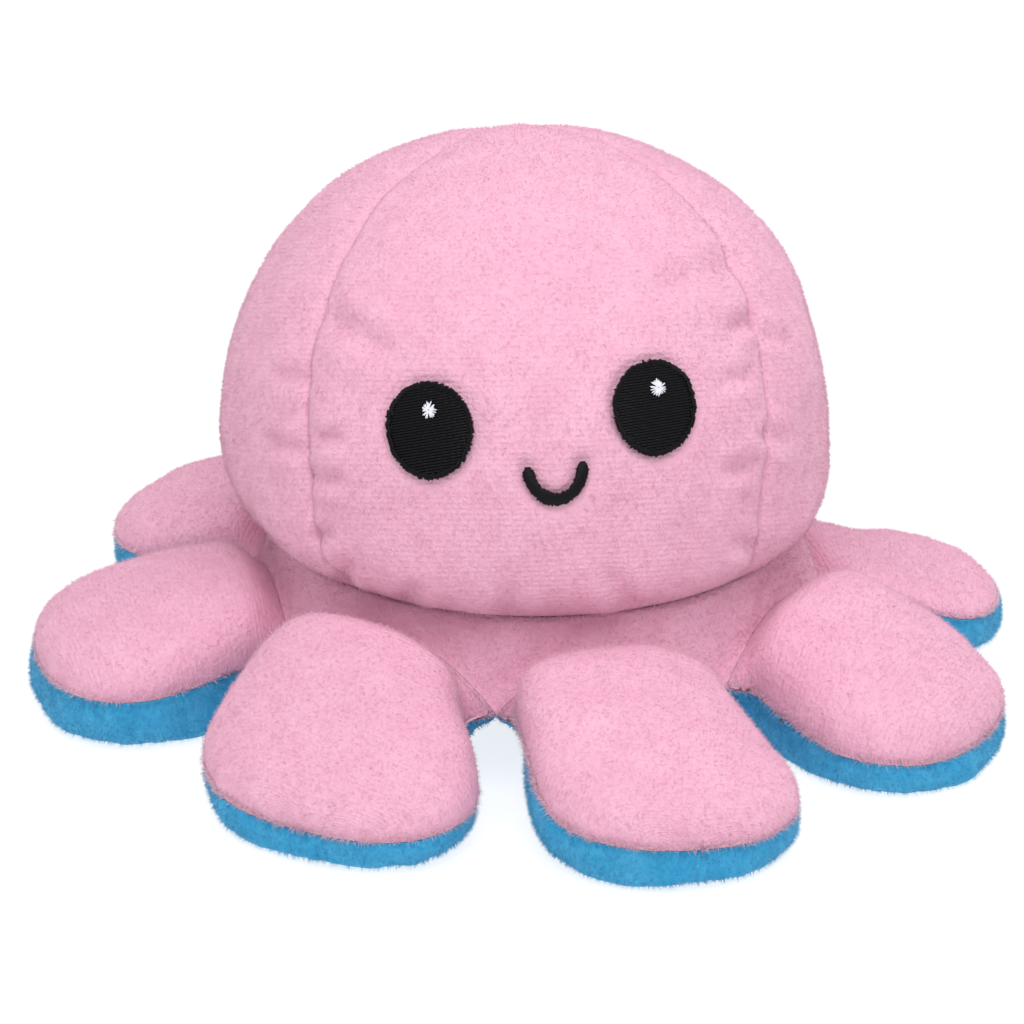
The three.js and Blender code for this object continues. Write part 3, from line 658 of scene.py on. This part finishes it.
def sole_height(share, across, number):
    """The seam's height, less a fall that is flat over the middle and reaches the ground. Next to the
    notches at the root it has an upright rim and then stays level for a while. It is a full round
    beyond."""
    seam = seam_height(share, half_width(share) * across, number)
    rounded = smooth(share / LEVEL_REACH)
    flat = mix(0.3, 0.62, rounded)
    beyond = np.maximum(np.abs(across) - flat, 0) / (1 - flat)
    arch = np.maximum(1 - beyond ** 2, 0) ** mix(3.0, 0.45, rounded)
    rim = RIM_HEIGHT * (1 - np.abs(across) ** 26) * (1 - rounded)
    return np.maximum(seam - rim - (seam + 0.5) * end_fall(share, SOLE_FALL) * arch, 0)


def arm_shares():
    """Places along and across an arm, closer together towards its edges."""
    share = np.sin(np.pi / 2 * np.linspace(0, 1, ARM_ROWS + 1))
    across = np.sin(np.pi * (np.linspace(0, 1, ARM_COLUMNS + 1) - 0.5))
    return share[:, None], across[None]


def root_crease(points, number):
    """The fold over the hinge: a valley across the arm's root that fades at the notches."""
    valley = ridge(points[..., 0] - HINGE, 3.2, ARM_CREASES[number - 1])
    return -valley * (1 - np.clip(np.abs(points[..., 1]) / CORNER, 0, 1) ** 4)


def arm_form(height, number):
    """One side of an arm as a smooth grid from the hinge to the tip."""
    share, across = arm_shares()
    length = ARM_LENGTH + ARM_EXTRA_LENGTHS[number - 1]
    side = arm_side_way(share, across, number)
    places = np.broadcast_arrays(HINGE + length * share, side, height(share, across, number))
    grid = np.stack(places, -1)
    grid[-1] = grid[-1, ARM_COLUMNS // 2]
    return grid


def arm_part(number):
    """The arm's upper side for the cloth simulation, held along its border."""
    grid = arm_form(top_height, number)
    free = np.ones(grid.shape[:2], bool)
    free[(0, -1), :] = False
    free[:, (0, -1)] = False
    return grid, free, ARM_STEP, False


def arm_side(height, upper, number, pushed):
    """One side of an arm. Its edge is drawn in at the seam, the cloth puckers across the seam, and the
    filling has pushed it out as given. The root row is left as it is, because it joins the skirt."""
    grid = arm_form(height, number)
    outward, lowest = (1, 1.0) if upper else (-1, 0.0)
    seam = np.concatenate([grid[:, 0], grid[::-1, -1]])
    gap, along = near_line(grid, seam)
    away = smooth((grid[..., 0] - HINGE) / 5)
    outer = smooth((grid[..., 0] - HINGE) / 30)
    seed = 20 * number + (0 if upper else 9)
    pucker = ripple(along, 5.2, 20 * number + 1) + 0.7 * ripple(along, 2.6, seed + 2)
    raised = -ridge(gap, width=1.5, height=0.55) - ridge(gap, width=5, height=0.5)
    raised += beside_seam((0.62 if upper else 0.8) * (0.6 + 0.4 * outer) * pucker, gap, reach=5.5, sewn=1.1)
    raised += 0.6 * lumps(grid, 15, seed + 3) + 0.25 * lumps(grid, 6.5, seed + 4)
    if not upper:
        strand = np.stack([along / 1.5, gap / 5.0, 0 * gap], -1)
        raised += 0.3 * lumps(strand, 1.0, seed + 5) * (1 - np.exp(-gap / 0.8))
        raised -= ridge(gap - 3.5, width=3, height=1.2) * (1 - outer)
    made = grid + (grid_normals(grid) * outward * raised[..., None] + pushed) * away[..., None]
    if upper:
        made[..., 2] += root_crease(grid, number)
    edge = seam_edge(seam, number)
    made[:, 0], made[:, -1] = edge[:ARM_ROWS + 1], edge[ARM_ROWS + 1:][::-1]
    made[-1] = made[-1, 0]
    made[..., 2] = np.maximum(made[..., 2], lowest)
    return made, grid_normals(made) * outward, gap


def seam_edge(seam, number):
    """The line along which both sides of an arm are sewn, drawn in by the thread. It is the same for
    the upper and the lower cloth."""
    middle = np.array([HINGE + 0.45 * ARM_LENGTH, 0, 0])
    inward = unit((middle - seam) * (1, 1, 0))
    drawn = 0.75 + 0.15 * ripple(seam[:, 1] + seam[:, 0], 4.0, number)
    return seam + inward * (smooth((seam[:, 0] - HINGE) / 4) * drawn)[:, None]


def cloth_room(above, below, normals):
    """How thick the cloth is at each point: thinner where the two layers meet at a seam."""
    room = 0.42 * np.maximum(above[..., 2] - below[..., 2], 0)
    return np.minimum(CLOTH, room / np.maximum(np.abs(normals[..., 2]), 0.2))[..., None]


def arm_inside(grid, normals, top, sole):
    """The inner face of one of an arm's two layers. It stands on the hinge's plane at the root."""
    inner = grid - normals * cloth_room(top, sole, normals)
    inner[:, (0, -1)] = grid[:, (0, -1)] - normals[:, (0, -1)] * (1, 1, 0)
    inner[0, :, 0] = HINGE
    inner[-1] = grid[-1] - (1.0, 0, 0)
    return inner


def arm_stuffing(top, sole):
    """The filling between an arm's two inner faces, half a millimetre clear where there is room."""
    clear = 0.5
    middle = (top + sole) / 2
    room = np.maximum(top[..., 2] - middle[..., 2], 0.05)
    kept = np.clip(1 - clear / room, 0.1, 1)[..., None]
    rows = [mix(middle, top, kept)[:, ::INNER_STEP], mix(middle, sole, kept)[:, ::-INNER_STEP]]
    rows = np.concatenate(rows, 1)
    rows[:, :, 0] = np.maximum(rows[:, :, 0] - clear, HINGE)
    return rows * (1, 0.985, 1)


def notch_thickness(points):
    """How thick the cloth of the skirt and its lining is, thinner where they meet at the notches."""
    azimuth = np.arctan2(points[..., 0], -points[..., 1]) - ARM_TWIST
    nearest = ARM_TWIST + 2 * HALF_SECTOR * np.round(azimuth / (2 * HALF_SECTOR))
    corner = HINGE / np.cos(HALF_SECTOR) * np.stack([np.sin(nearest), -np.cos(nearest)], -1)
    gap = np.linalg.norm(points[..., :2] - corner, axis=-1)
    return CLOTH * np.clip(gap / 3.5, 0.05, 1)[..., None]


def skirt_ring(row_count, radius, height, outer_height, fall):
    """The ring between a circle and the eight hinge lines. Its height goes from one to the other as
    the given power of the share of the way that is left."""
    across = np.sin(np.pi * (np.arange(ARM_COLUMNS) / ARM_COLUMNS - 0.5))
    share = np.linspace(0, 1, row_count + 1)[:, None]
    parts = []
    for number in range(1, ARMS + 1):
        edge = np.stack([0 * across + HINGE, CORNER * across, outer_height(0.0, across, number)], -1)
        if outer_height is top_height:
            edge[:, 2] += root_crease(edge, number)
        edge = turn_to_arm(edge, number)
        azimuth = arm_azimuth(number) + HALF_SECTOR * (2 * np.arange(ARM_COLUMNS) / ARM_COLUMNS - 1)
        ring = np.stack([radius * np.sin(azimuth), -radius * np.cos(azimuth), 0 * azimuth + height], -1)
        part = mix(ring[None], edge[None], share[..., None])
        part[..., 2] = np.maximum(mix(edge[None, :, 2], ring[None, :, 2], (1 - share) ** fall), 0)
        parts.append(part)
    return np.concatenate(parts, 1)


# The blue head inside.
def pouch(azimuth, row_count, pleated):
    """The blue head from its top down to its mouth, on the side of the filling: a dome of radius
    42 sin(t)^0.8 and rise 46 cos(t)^0.8 over a wall that narrows a little. Its slack cloth falls in
    upright pleats, up to 2.8 mm deep, that fade at the top and at the mouth."""
    dome_share, roundness, pleat_depth = 0.62, 0.8, 2.8
    share = np.linspace(0, 1, row_count + 1)[:, None]
    dome, wall = np.clip(share / dome_share, 0, 1), np.clip((share - dome_share) / (1 - dome_share), 0, 1)
    polar = dome * np.pi / 2
    upper_radius = POUCH_RADIUS * np.sin(polar) ** roundness
    radius = np.where(wall > 0, mix(POUCH_RADIUS, POUCH_MOUTH, wall ** 2), upper_radius)
    height = POUCH_LOW + POUCH_WALL * (1 - wall) + POUCH_DOME * np.maximum(np.cos(polar), 0) ** roundness
    if pleated:
        place = np.stack(np.broadcast_arrays(9 * np.cos(azimuth), 9 * np.sin(azimuth), 1.6 * share), -1)
        fold = 0.5 + 0.35 * lumps(place, 1.7, 41) + 0.25 * lumps(place, 0.8, 42)
        radius = radius - pleat_depth * np.clip(fold, 0, 1) * smooth(share / 0.3) * smooth((1 - share) / 0.12)
    return np.stack(np.broadcast_arrays(radius * np.sin(azimuth), -radius * np.cos(azimuth), height), -1)


# Finishes.
def linear(code):
    """The linear colour of an sRGB hex code, by the standard curve."""
    channels = [int(code[i:i + 2], 16) / 255 for i in (1, 3, 5)]
    return [c / 12.92 if c <= 0.04045 else ((c + 0.055) / 1.055) ** 2.4 for c in channels] + [1.0]


def add_node(tree, kind, settings=None, **inputs):
    """A node with its own settings. Its inputs are named, or numbered after an i. An input given as a
    socket is linked, and any other is set."""
    node = tree.nodes.new(kind)
    for name, value in (settings or {}).items():
        setattr(node, name, value)
    for name, value in inputs.items():
        numbered = name[0] == "i" and name[1:].isdigit()
        socket = node.inputs[int(name[1:]) if numbered else name.replace("_", " ")]
        if isinstance(value, bpy.types.NodeSocket):
            tree.links.new(value, socket)
        else:
            socket.default_value = value
    return node


def noise(tree, place, scale, **settings):
    """The socket of a noise, whose scale is in features per metre."""
    return add_node(tree, "ShaderNodeTexNoise", Vector=place, Scale=scale, **settings).outputs["Fac"]


def ranged(tree, value, **ends):
    """The socket of a value put from one range into another."""
    return add_node(tree, "ShaderNodeMapRange", None, Value=value, **ends).outputs[0]


def mixed_colour(tree, share, first, second):
    """The socket of a colour between two others."""
    return add_node(tree, "ShaderNodeMix", {"data_type": "RGBA"}, i0=share, i6=first, i7=second).outputs[2]


def maths(tree, operation, *values):
    """The socket of a sum, product or sine of values."""
    inputs = {f"i{number}": value for number, value in enumerate(values)}
    return add_node(tree, "ShaderNodeMath", {"operation": operation}, **inputs).outputs[0]


def mark_on_cloth(tree, name):
    """The socket of one of the marks that the cloth's points carry."""
    return add_node(tree, "ShaderNodeAttribute", {"attribute_name": name}).outputs["Fac"]


def add_bump(tree, shader, height, strength, distance):
    """Relief that only the shading shows. Its distance is in metres."""
    bump = add_node(tree, "ShaderNodeBump", None, Strength=strength, Distance=distance, Height=height)
    tree.links.new(bump.outputs[0], shader.inputs["Normal"])


def new_material(name, roughness, sheen, tint, gloss=0.25):
    """A material with its Principled shader, whose fixed values are set on its own sockets, and the
    socket of the place on the object."""
    material = bpy.data.materials.new(name)
    material.use_nodes = True
    tree = material.node_tree
    shader = tree.nodes["Principled BSDF"]
    shader.inputs["Roughness"].default_value = roughness
    shader.inputs["Specular IOR Level"].default_value = gloss
    shader.inputs["IOR"].default_value = 1.5
    shader.inputs["Sheen Weight"].default_value = sheen
    shader.inputs["Sheen Roughness"].default_value = 0.4
    shader.inputs["Sheen Tint"].default_value = linear(tint)
    return material, tree, shader, add_node(tree, "ShaderNodeTexCoord").outputs["Object"]


def plush(name, base, deep, pale, tint):
    """Short-pile polyester plush. The pile lies in soft clumps about a millimetre wide, drawn here at
    1.1 mm, and its mottling is 5 to 9 mm wide. Its colour is darker in the partings between clumps,
    as painted shade. The courses of its knitted back show faintly, 1.1 mm apart. It is pale where
    stitches press it."""
    course_spacing = 1.1
    material, tree, shader, place = new_material(name, 0.92, 0.35, tint)
    clumps = noise(tree, place, 900.0, Detail=3.0, Roughness=0.6)
    mottling = noise(tree, place, 130.0, Detail=3.0, Roughness=0.55)
    # Where the clumps are low, in the hollows of the bump, the colour goes to the painted shade.
    colour = mixed_colour(tree, ranged(tree, clumps, i1=0.34, i2=0.62), linear(deep), linear(base))
    colour = mixed_colour(tree, ranged(tree, mottling, i1=0.4, i2=0.75), colour, linear(pale))
    colour = mixed_colour(tree, mark_on_cloth(tree, "pressed"), colour, linear(pale))
    tree.links.new(colour, shader.inputs["Base Color"])
    fine = noise(tree, place, 2100.0, Detail=2.0)
    relief = maths(tree, "MULTIPLY_ADD", fine, 0.45, clumps)
    turn = maths(tree, "MULTIPLY", mark_on_cloth(tree, "course"), 2 * np.pi / course_spacing)
    relief = maths(tree, "MULTIPLY_ADD", maths(tree, "SINE", turn), 0.07, relief)
    add_bump(tree, shader, relief, 0.8, 0.0006)
    return material


def pile(name, colour, tint):
    """Loose fibre ends of the same cloth, which catch the light. Their colour is one dye, and only
    their gloss varies from tuft to tuft."""
    material, tree, shader, place = new_material(name, 0.85, 0.3, tint)
    shader.inputs["Base Color"].default_value = linear(colour)
    rough = ranged(tree, noise(tree, place, 500.0, Detail=1.0), i3=0.7, i4=0.95)
    tree.links.new(rough, shader.inputs["Roughness"])
    return material


def thread(name, dark, light, rough):
    """Twisted rayon embroidery thread: satin, with a fine twist about 0.3 mm long."""
    material, tree, shader, place = new_material(name, rough, 0.0, "#FFFFFF", gloss=0.16)
    twist = noise(tree, place, 3200.0, Detail=1.0)
    tree.links.new(mixed_colour(tree, twist, linear(dark), linear(light)), shader.inputs["Base Color"])
    add_bump(tree, shader, twist, 0.5, 0.0001)
    return material


# Each plush's second colour is painted shade for the partings of its pile.
PINK = plush("pink_polyester_plush", "#E6ABC4", "#E1A5BE", "#E9B2C9", "#FBE3F0")
BLUE = plush("azure_polyester_plush", "#3CA4D2", "#3099CA", "#50B0DA", "#BFE3FA")
PINK_PILE = pile("pink_pile_fibre", "#E5B0C6", "#FBE3F0")
# The seam fringe's fibres are the same dye as the rest, painted paler as a highlight where they catch the
# light.
HIGHLIT_PINK_PILE = pile("highlit_pink_pile_fibre", "#F0CBDB", "#FFF0F6")
BLUE_PILE = pile("azure_pile_fibre", "#4AABD8", "#BFE3FA")
BLACK = thread("black_rayon_thread", "#050407", "#0D0C10", 0.34)
WHITE = thread("white_rayon_thread", "#D8D5E2", "#EFEDF6", 0.45)
FILLING = plush("white_polyester_filling", "#EFEDE8", "#E2DFD8", "#F8F7F4", "#FFFFFF")


def finish(piece, material, slot, *nodes):
    """Gives a piece its material and hides the parts of model.glb for the nodes it stands for. The slot is
    not used.
    """
    piece.data.materials.append(material)
    if nodes:
        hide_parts(*nodes)
    return piece


def bend_arm(piece):
    """Puts the piece's placement into its mesh."""
    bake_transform(piece)


# Kinds of pile: how many fibres stand on a square millimetre, then their length and half width in mm.
SHORT_PILE, SEAM_FRINGE = (3.4, 0.8, 0.075), (9.0, 1.5, 0.08)
LINING_PILE, SOLE_PILE = (2.6, 1.1, 0.1), (6.0, 1.0, 0.07)

# How widely fibres scatter, how steeply they rise at least, how deep they root and how low they reach.
FIBRE_SCATTER, FIBRE_RISE, FIBRE_ROOT, FIBRE_LOWEST = 0.42, 0.15, 0.25, 0.02


def cell_corners(values, closed):
    """The values at the four corners of each cell of a grid."""
    first = values if closed else values[:, :-1]
    after = np.roll(values, -1, 1) if closed else values[:, 1:]
    return first[:-1], after[:-1], first[1:], after[1:]


def fibres(name, grid, normals, kind, lean, seed, keep=None, closed=False):
    """Pile: thin three-sided spikes that stand on a grid of points. A place is drawn at random by
    area, and the spike leans down the grid by the given share, with a scatter of its own."""
    chance = np.random.default_rng(seed)
    per_mm2, length, half = kind
    a, b, c, d = cell_corners(grid, closed)
    area = np.linalg.norm(np.cross(d - a, c - b), axis=-1) / 2
    if keep is not None:
        area = area * cell_corners(keep, closed)[0]
    area = area.ravel()
    count = int(area.sum() * per_mm2)
    cell = chance.choice(len(area), count, p=area / area.sum())
    u, v = chance.random((2, count, 1))
    a, b, c, d = (corner.reshape(-1, 3)[cell] for corner in (a, b, c, d))
    root = mix(mix(a, b, u), mix(c, d, u), v)
    down = unit(mix(c, d, u) - mix(a, b, u))
    a, b, c, d = (corner.reshape(-1, 3)[cell] for corner in cell_corners(normals, closed))
    normal = unit(mix(mix(a, b, u), mix(c, d, u), v))
    way = unit(normal * (1 - lean) + down * lean + FIBRE_SCATTER * chance.normal(size=(count, 3)))
    way = unit(way + normal * np.maximum(FIBRE_RISE - (way * normal).sum(1, keepdims=True), 0))
    side = unit(np.cross(way, chance.normal(size=(count, 3))))
    other = np.cross(way, side)
    reach = length * (0.65 + 0.7 * chance.random((count, 1)))
    turns = (np.arange(3) * 2 * np.pi / 3)[None, :, None]
    ring = root[:, None] - normal[:, None] * FIBRE_ROOT
    ring = ring + half * (np.cos(turns) * side[:, None] + np.sin(turns) * other[:, None])
    points = np.concatenate([ring, (root + way * reach)[:, None]], 1)
    points[..., 2] = np.maximum(points[..., 2], FIBRE_LOWEST)
    pattern = np.array([[0, 1, 3], [1, 2, 3], [2, 0, 3], [2, 1, 0]])
    faces = (np.arange(count)[:, None, None] * 4 + pattern).reshape(-1, 3)
    sizes, rounded = np.full(len(faces), 3), np.ones(len(faces), bool)
    return new_piece(name, points.reshape(-1, 3), faces.ravel(), sizes, rounded)


# The pink head.
pushed_head, *pushed_arms = swell([head_part()] + [arm_part(number) for number in range(1, ARMS + 1)])
head, head_normals, head_marks, bare = head_cloth(pushed_head)
head_inner = head - head_normals * CLOTH
for panel, side in enumerate(PANELS):
    columns = np.arange(panel * PANEL_COLUMNS, (panel + 1) * PANEL_COLUMNS + 1) % (4 * PANEL_COLUMNS)
    name, outer, normals = f"head_{side}", head[:, columns], head_normals[:, columns]
    marks = {mark: values[:, columns] for mark, values in head_marks.items()}
    cover = cloth_piece(f"{name}_cloth", outer, head_inner[:, columns], marks=marks)
    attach(finish(cover, PINK, "pink_plush", f"{name}_panel"), "body")
    fuzz = fibres(f"{name}_pile", outer, normals, SHORT_PILE, 0.45, 100 + panel, bare[:, columns])
    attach(finish(fuzz, PINK_PILE, "pink_plush"), "body")

# The face.
for name, middle, seed in zip(("left_eye", "right_eye"), EYE_MIDDLES, (11, 12)):
    fill, border = eye_stitches(name, middle, seed)
    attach(finish(fill, BLACK, "black_thread", name), "body")
    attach(finish(border, BLACK, "black_thread"), "body")
    glint = glint_stitches(f"{name}_glint_stitches", middle, seed + 10)
    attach(finish(glint, WHITE, "white_thread", f"{name}_glint"), "body")
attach(finish(smile_stitches(13), BLACK, "black_thread", "smile_embroidery"), "body")

# The blue head.
for panel, side in enumerate(PANELS):
    shell = pouch(np.linspace(SEAMS[panel], SEAMS[panel + 1], POUCH_STEPS + 1)[None], POUCH_STEPS, True)
    inside = shell - grid_normals(shell) * CLOTH
    inside[0] = inside[0].mean(0)
    lining_panel = cloth_piece(f"inner_head_{side}_cloth", shell, inside)
    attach(finish(lining_panel, BLUE, "blue_plush", f"inner_head_{side}_panel"), "body")

# The skirt and its blue lining.
skirt = skirt_ring(SKIRT_ROWS, NECK_RADIUS, NECK_HEIGHT - 0.3, top_height, 1.45)
skirt_normals = grid_normals(skirt, True)
squashed = skirt * (1, 1, 0.3)
gathers = 0.9 * lumps(squashed, 7.5, 31) + 0.35 * lumps(squashed, 3.2, 32)
gathers *= np.sin(np.pi * np.linspace(0, 1, SKIRT_ROWS + 1))[:, None]
skirt += skirt_normals * gathers[..., None]
skirt_normals = grid_normals(skirt, True)
turned = lambda grid: np.swapaxes(grid, 0, 1)
skirt_inner = skirt - skirt_normals * notch_thickness(skirt)
skirt_cloth = cloth_piece("skirt_cloth", turned(skirt), turned(skirt_inner), along=True)
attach(finish(skirt_cloth, PINK, "pink_plush", "skirt_cover"), "body")
skirt_pile = fibres("skirt_pile", skirt, skirt_normals, SHORT_PILE, 0.3, 120, closed=True)
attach(finish(skirt_pile, PINK_PILE, "pink_plush"), "body")

lining = skirt_ring(LINING_ROWS, POUCH_MOUTH + 0.2, POUCH_LOW, sole_height, 4)
lining_normals = grid_normals(lining, True)
lining_inner = lining + lining_normals * notch_thickness(lining)
lining_cloth = cloth_piece("skirt_lining_cloth", turned(lining), turned(lining_inner), along=True)
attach(finish(lining_cloth, BLUE, "blue_plush", "skirt_lining"), "body")
showing = smooth((lining[..., 2] - 0.2) / 1.5)
lining_pile = fibres(
    "skirt_lining_pile", lining, -lining_normals, LINING_PILE, 0.2, 121, showing, closed=True)
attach(finish(lining_pile, BLUE_PILE, "blue_plush"), "body")

# The filling lies inside the cloth, a little clear of it, and goes round the blue head.
HEAD_INSET, SKIRT_INSET, LINING_INSET, POUCH_INSET = 5.0, 4.2, 3.2, 0.8
drawn_in = (0.975, 0.975, 1)
few = slice(None, None, 8)
around = np.arctan2(skirt[0, few, 0], -skirt[0, few, 1])
mass = head_point(head_ways(around, 24))
mass -= grid_normals(mass, True) * HEAD_INSET
skirt_mass = (skirt - skirt_normals * SKIRT_INSET)[2:-3:2, few] * drawn_in
lining_mass = (lining + (0, 0, LINING_INSET))[2:-5:3, few][::-1] * drawn_in
hollow = pouch(around[None], 20, False)
hollow += grid_normals(hollow, True) * POUCH_INSET
lump = net("body_stuffing", np.concatenate([mass, skirt_mass, lining_mass, hollow[:-3][::-1]]))
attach(finish(lump, FILLING, "polyester_filling", "body_filling"), "body")

# The arms.
for number in range(1, ARMS + 1):
    arm = f"arm_{number}"
    top, top_normals, top_gap = arm_side(top_height, True, number, pushed_arms[number - 1])
    sole, sole_normals, _ = arm_side(sole_height, False, number, np.zeros(3))
    sole[1:, (0, -1), 2] -= 0.15
    top_inner = arm_inside(top, top_normals, top, sole)
    sole_inner = arm_inside(sole, sole_normals, top, sole)
    course, rim = {"course": lengths_along(top, 0)}, bell(top_gap / 1.3)
    showing = 0.12 + 0.88 * smooth((sole[..., 2] - 0.3) / 2)
    grids = (top, top_normals, top_inner, sole, sole_normals, sole_inner, arm_stuffing(top_inner, sole_inner))
    top, top_normals, top_inner, sole, sole_normals, sole_inner, hidden = (
        turn_to_arm(grid, number) for grid in grids)
    upper = cloth_piece(f"{arm}_upper_cloth", top, top_inner, marks=course)
    finish(upper, PINK, "pink_plush", f"{arm}_top_cover")
    lower = cloth_piece(f"{arm}_lower_cloth", sole, sole_inner)
    finish(lower, BLUE, "blue_plush", f"{arm}_underside")
    stuffing = net(f"{arm}_stuffing", hidden)
    finish(stuffing, FILLING, "polyester_filling", f"{arm}_filling")
    top_fuzz = fibres(f"{arm}_upper_pile", top, top_normals, SHORT_PILE, 0.3, 130 + number)
    finish(top_fuzz, PINK_PILE, "pink_plush")
    # The fringe along the seam carries the painted highlight colour.
    fringe = fibres(f"{arm}_seam_fringe", top, top_normals, SEAM_FRINGE, 0.1, 150 + number, rim)
    finish(fringe, HIGHLIT_PINK_PILE, "pink_plush")
    sole_fuzz = fibres(f"{arm}_lower_pile", sole, sole_normals, SOLE_PILE, 0.2, 170 + number, showing)
    finish(sole_fuzz, BLUE_PILE, "blue_plush")
    for piece in (upper, lower, stuffing, top_fuzz, fringe, sole_fuzz):
        bend_arm(piece)

# Stage, camera and light. The floor is grey paper that also glows: it shows no shadows and lights the toy
# from below, though it is no lamp.
FLOOR_REACH, FLOOR_DROP = 4000, 0.05
glowing_paper, _, paper_shader, _ = new_material("glowing_grey_paper", 0.9, 0.0, "#FFFFFF")
paper_shader.inputs["Base Color"].default_value = linear("#9A9A9A")
# The glow is painted light, which makes the floor bright all over and shadowless.
paper_shader.inputs["Emission Color"].default_value = (1, 1, 1, 1)
paper_shader.inputs["Emission Strength"].default_value = 0.8
corners = np.array([[-1, -1, 0], [1, -1, 0], [1, 1, 0], [-1, 1, 0]]) * FLOOR_REACH - (0, 0, FLOOR_DROP)
floor = fill_mesh("studio_floor", corners, np.array([[0, 1, 2, 3]]))
floor.data.materials.append(glowing_paper)


def place_object(name, data, axes, place):
    """An object in the scene, with its axes as columns and its place in metres."""
    matrix = np.eye(4)
    matrix[:3, :3], matrix[:3, 3] = axes, place
    made = bpy.data.objects.new(name, data)
    made.matrix_world = Matrix(matrix.tolist())
    bpy.context.scene.collection.objects.link(made)
    return made


# The camera stands 0.9 m away, 22.5 degrees above level and 3.4 degrees round to the left. A pixel of
# the picture, which is 1024 wide, shows 0.2105 mm there. The camera aims a little below the head's
# middle and to its left.
ELEVATION, AROUND, DISTANCE = 22.5 * DEGREE, -3.4 * DEGREE, 900.0
SENSOR, PIXEL, PICTURE_WIDTH, AIM_DROP, AIM_SHIFT = 36, 0.2105, 1024, 16.2, 2.82
level = np.cos(ELEVATION)
back = np.array([np.sin(AROUND) * level, -np.cos(AROUND) * level, np.sin(ELEVATION)])
right = unit(np.cross([0, 0, 1.0], back))
above = np.cross(back, right)
head_middle = np.array([-HEAD_LEAN, 0, HEAD_CENTRE])
eye_place = head_middle + DISTANCE * back
aim = unit(head_middle - AIM_DROP * above - AIM_SHIFT * right - eye_place)
lens = bpy.data.cameras.new("camera")
lens.sensor_width, lens.lens = SENSOR, SENSOR * DISTANCE / PIXEL / PICTURE_WIDTH
lens.clip_start, lens.clip_end = 0.05, 20
sideways = unit(np.cross(aim, above))
axes = np.stack([sideways, np.cross(-aim, sideways), -aim], 1)
bpy.context.scene.camera = place_object("camera", lens, axes, eye_place * METRE)

world = bpy.data.worlds.new("white_studio")
bpy.context.scene.world = world
world.use_nodes = True
world.node_tree.nodes["Background"].inputs["Color"].default_value = (1, 1, 1, 1)
world.node_tree.nodes["Background"].inputs["Strength"].default_value = 0.62


def soft_light(name, place, size, watts):
    """A square lamp that faces the toy. Its place and size are in metres."""
    data = bpy.data.lights.new(name, "AREA")
    data.shape, data.size, data.energy = "SQUARE", size, watts
    z = unit(np.array(place, float) - (0, 0, 0.06))
    x = unit(np.cross([0, 1.0, 0], z))
    place_object(name, data, np.stack([x, np.cross(z, x), z], 1), place)


soft_light("overhead_softbox", (-0.02, -0.5, 1.02), 0.9, 9.3)
soft_light("back_fill", (0.5, 0.6, 0.8), 0.9, 3.0)
bpy.context.scene.view_settings.view_transform = "Standard"
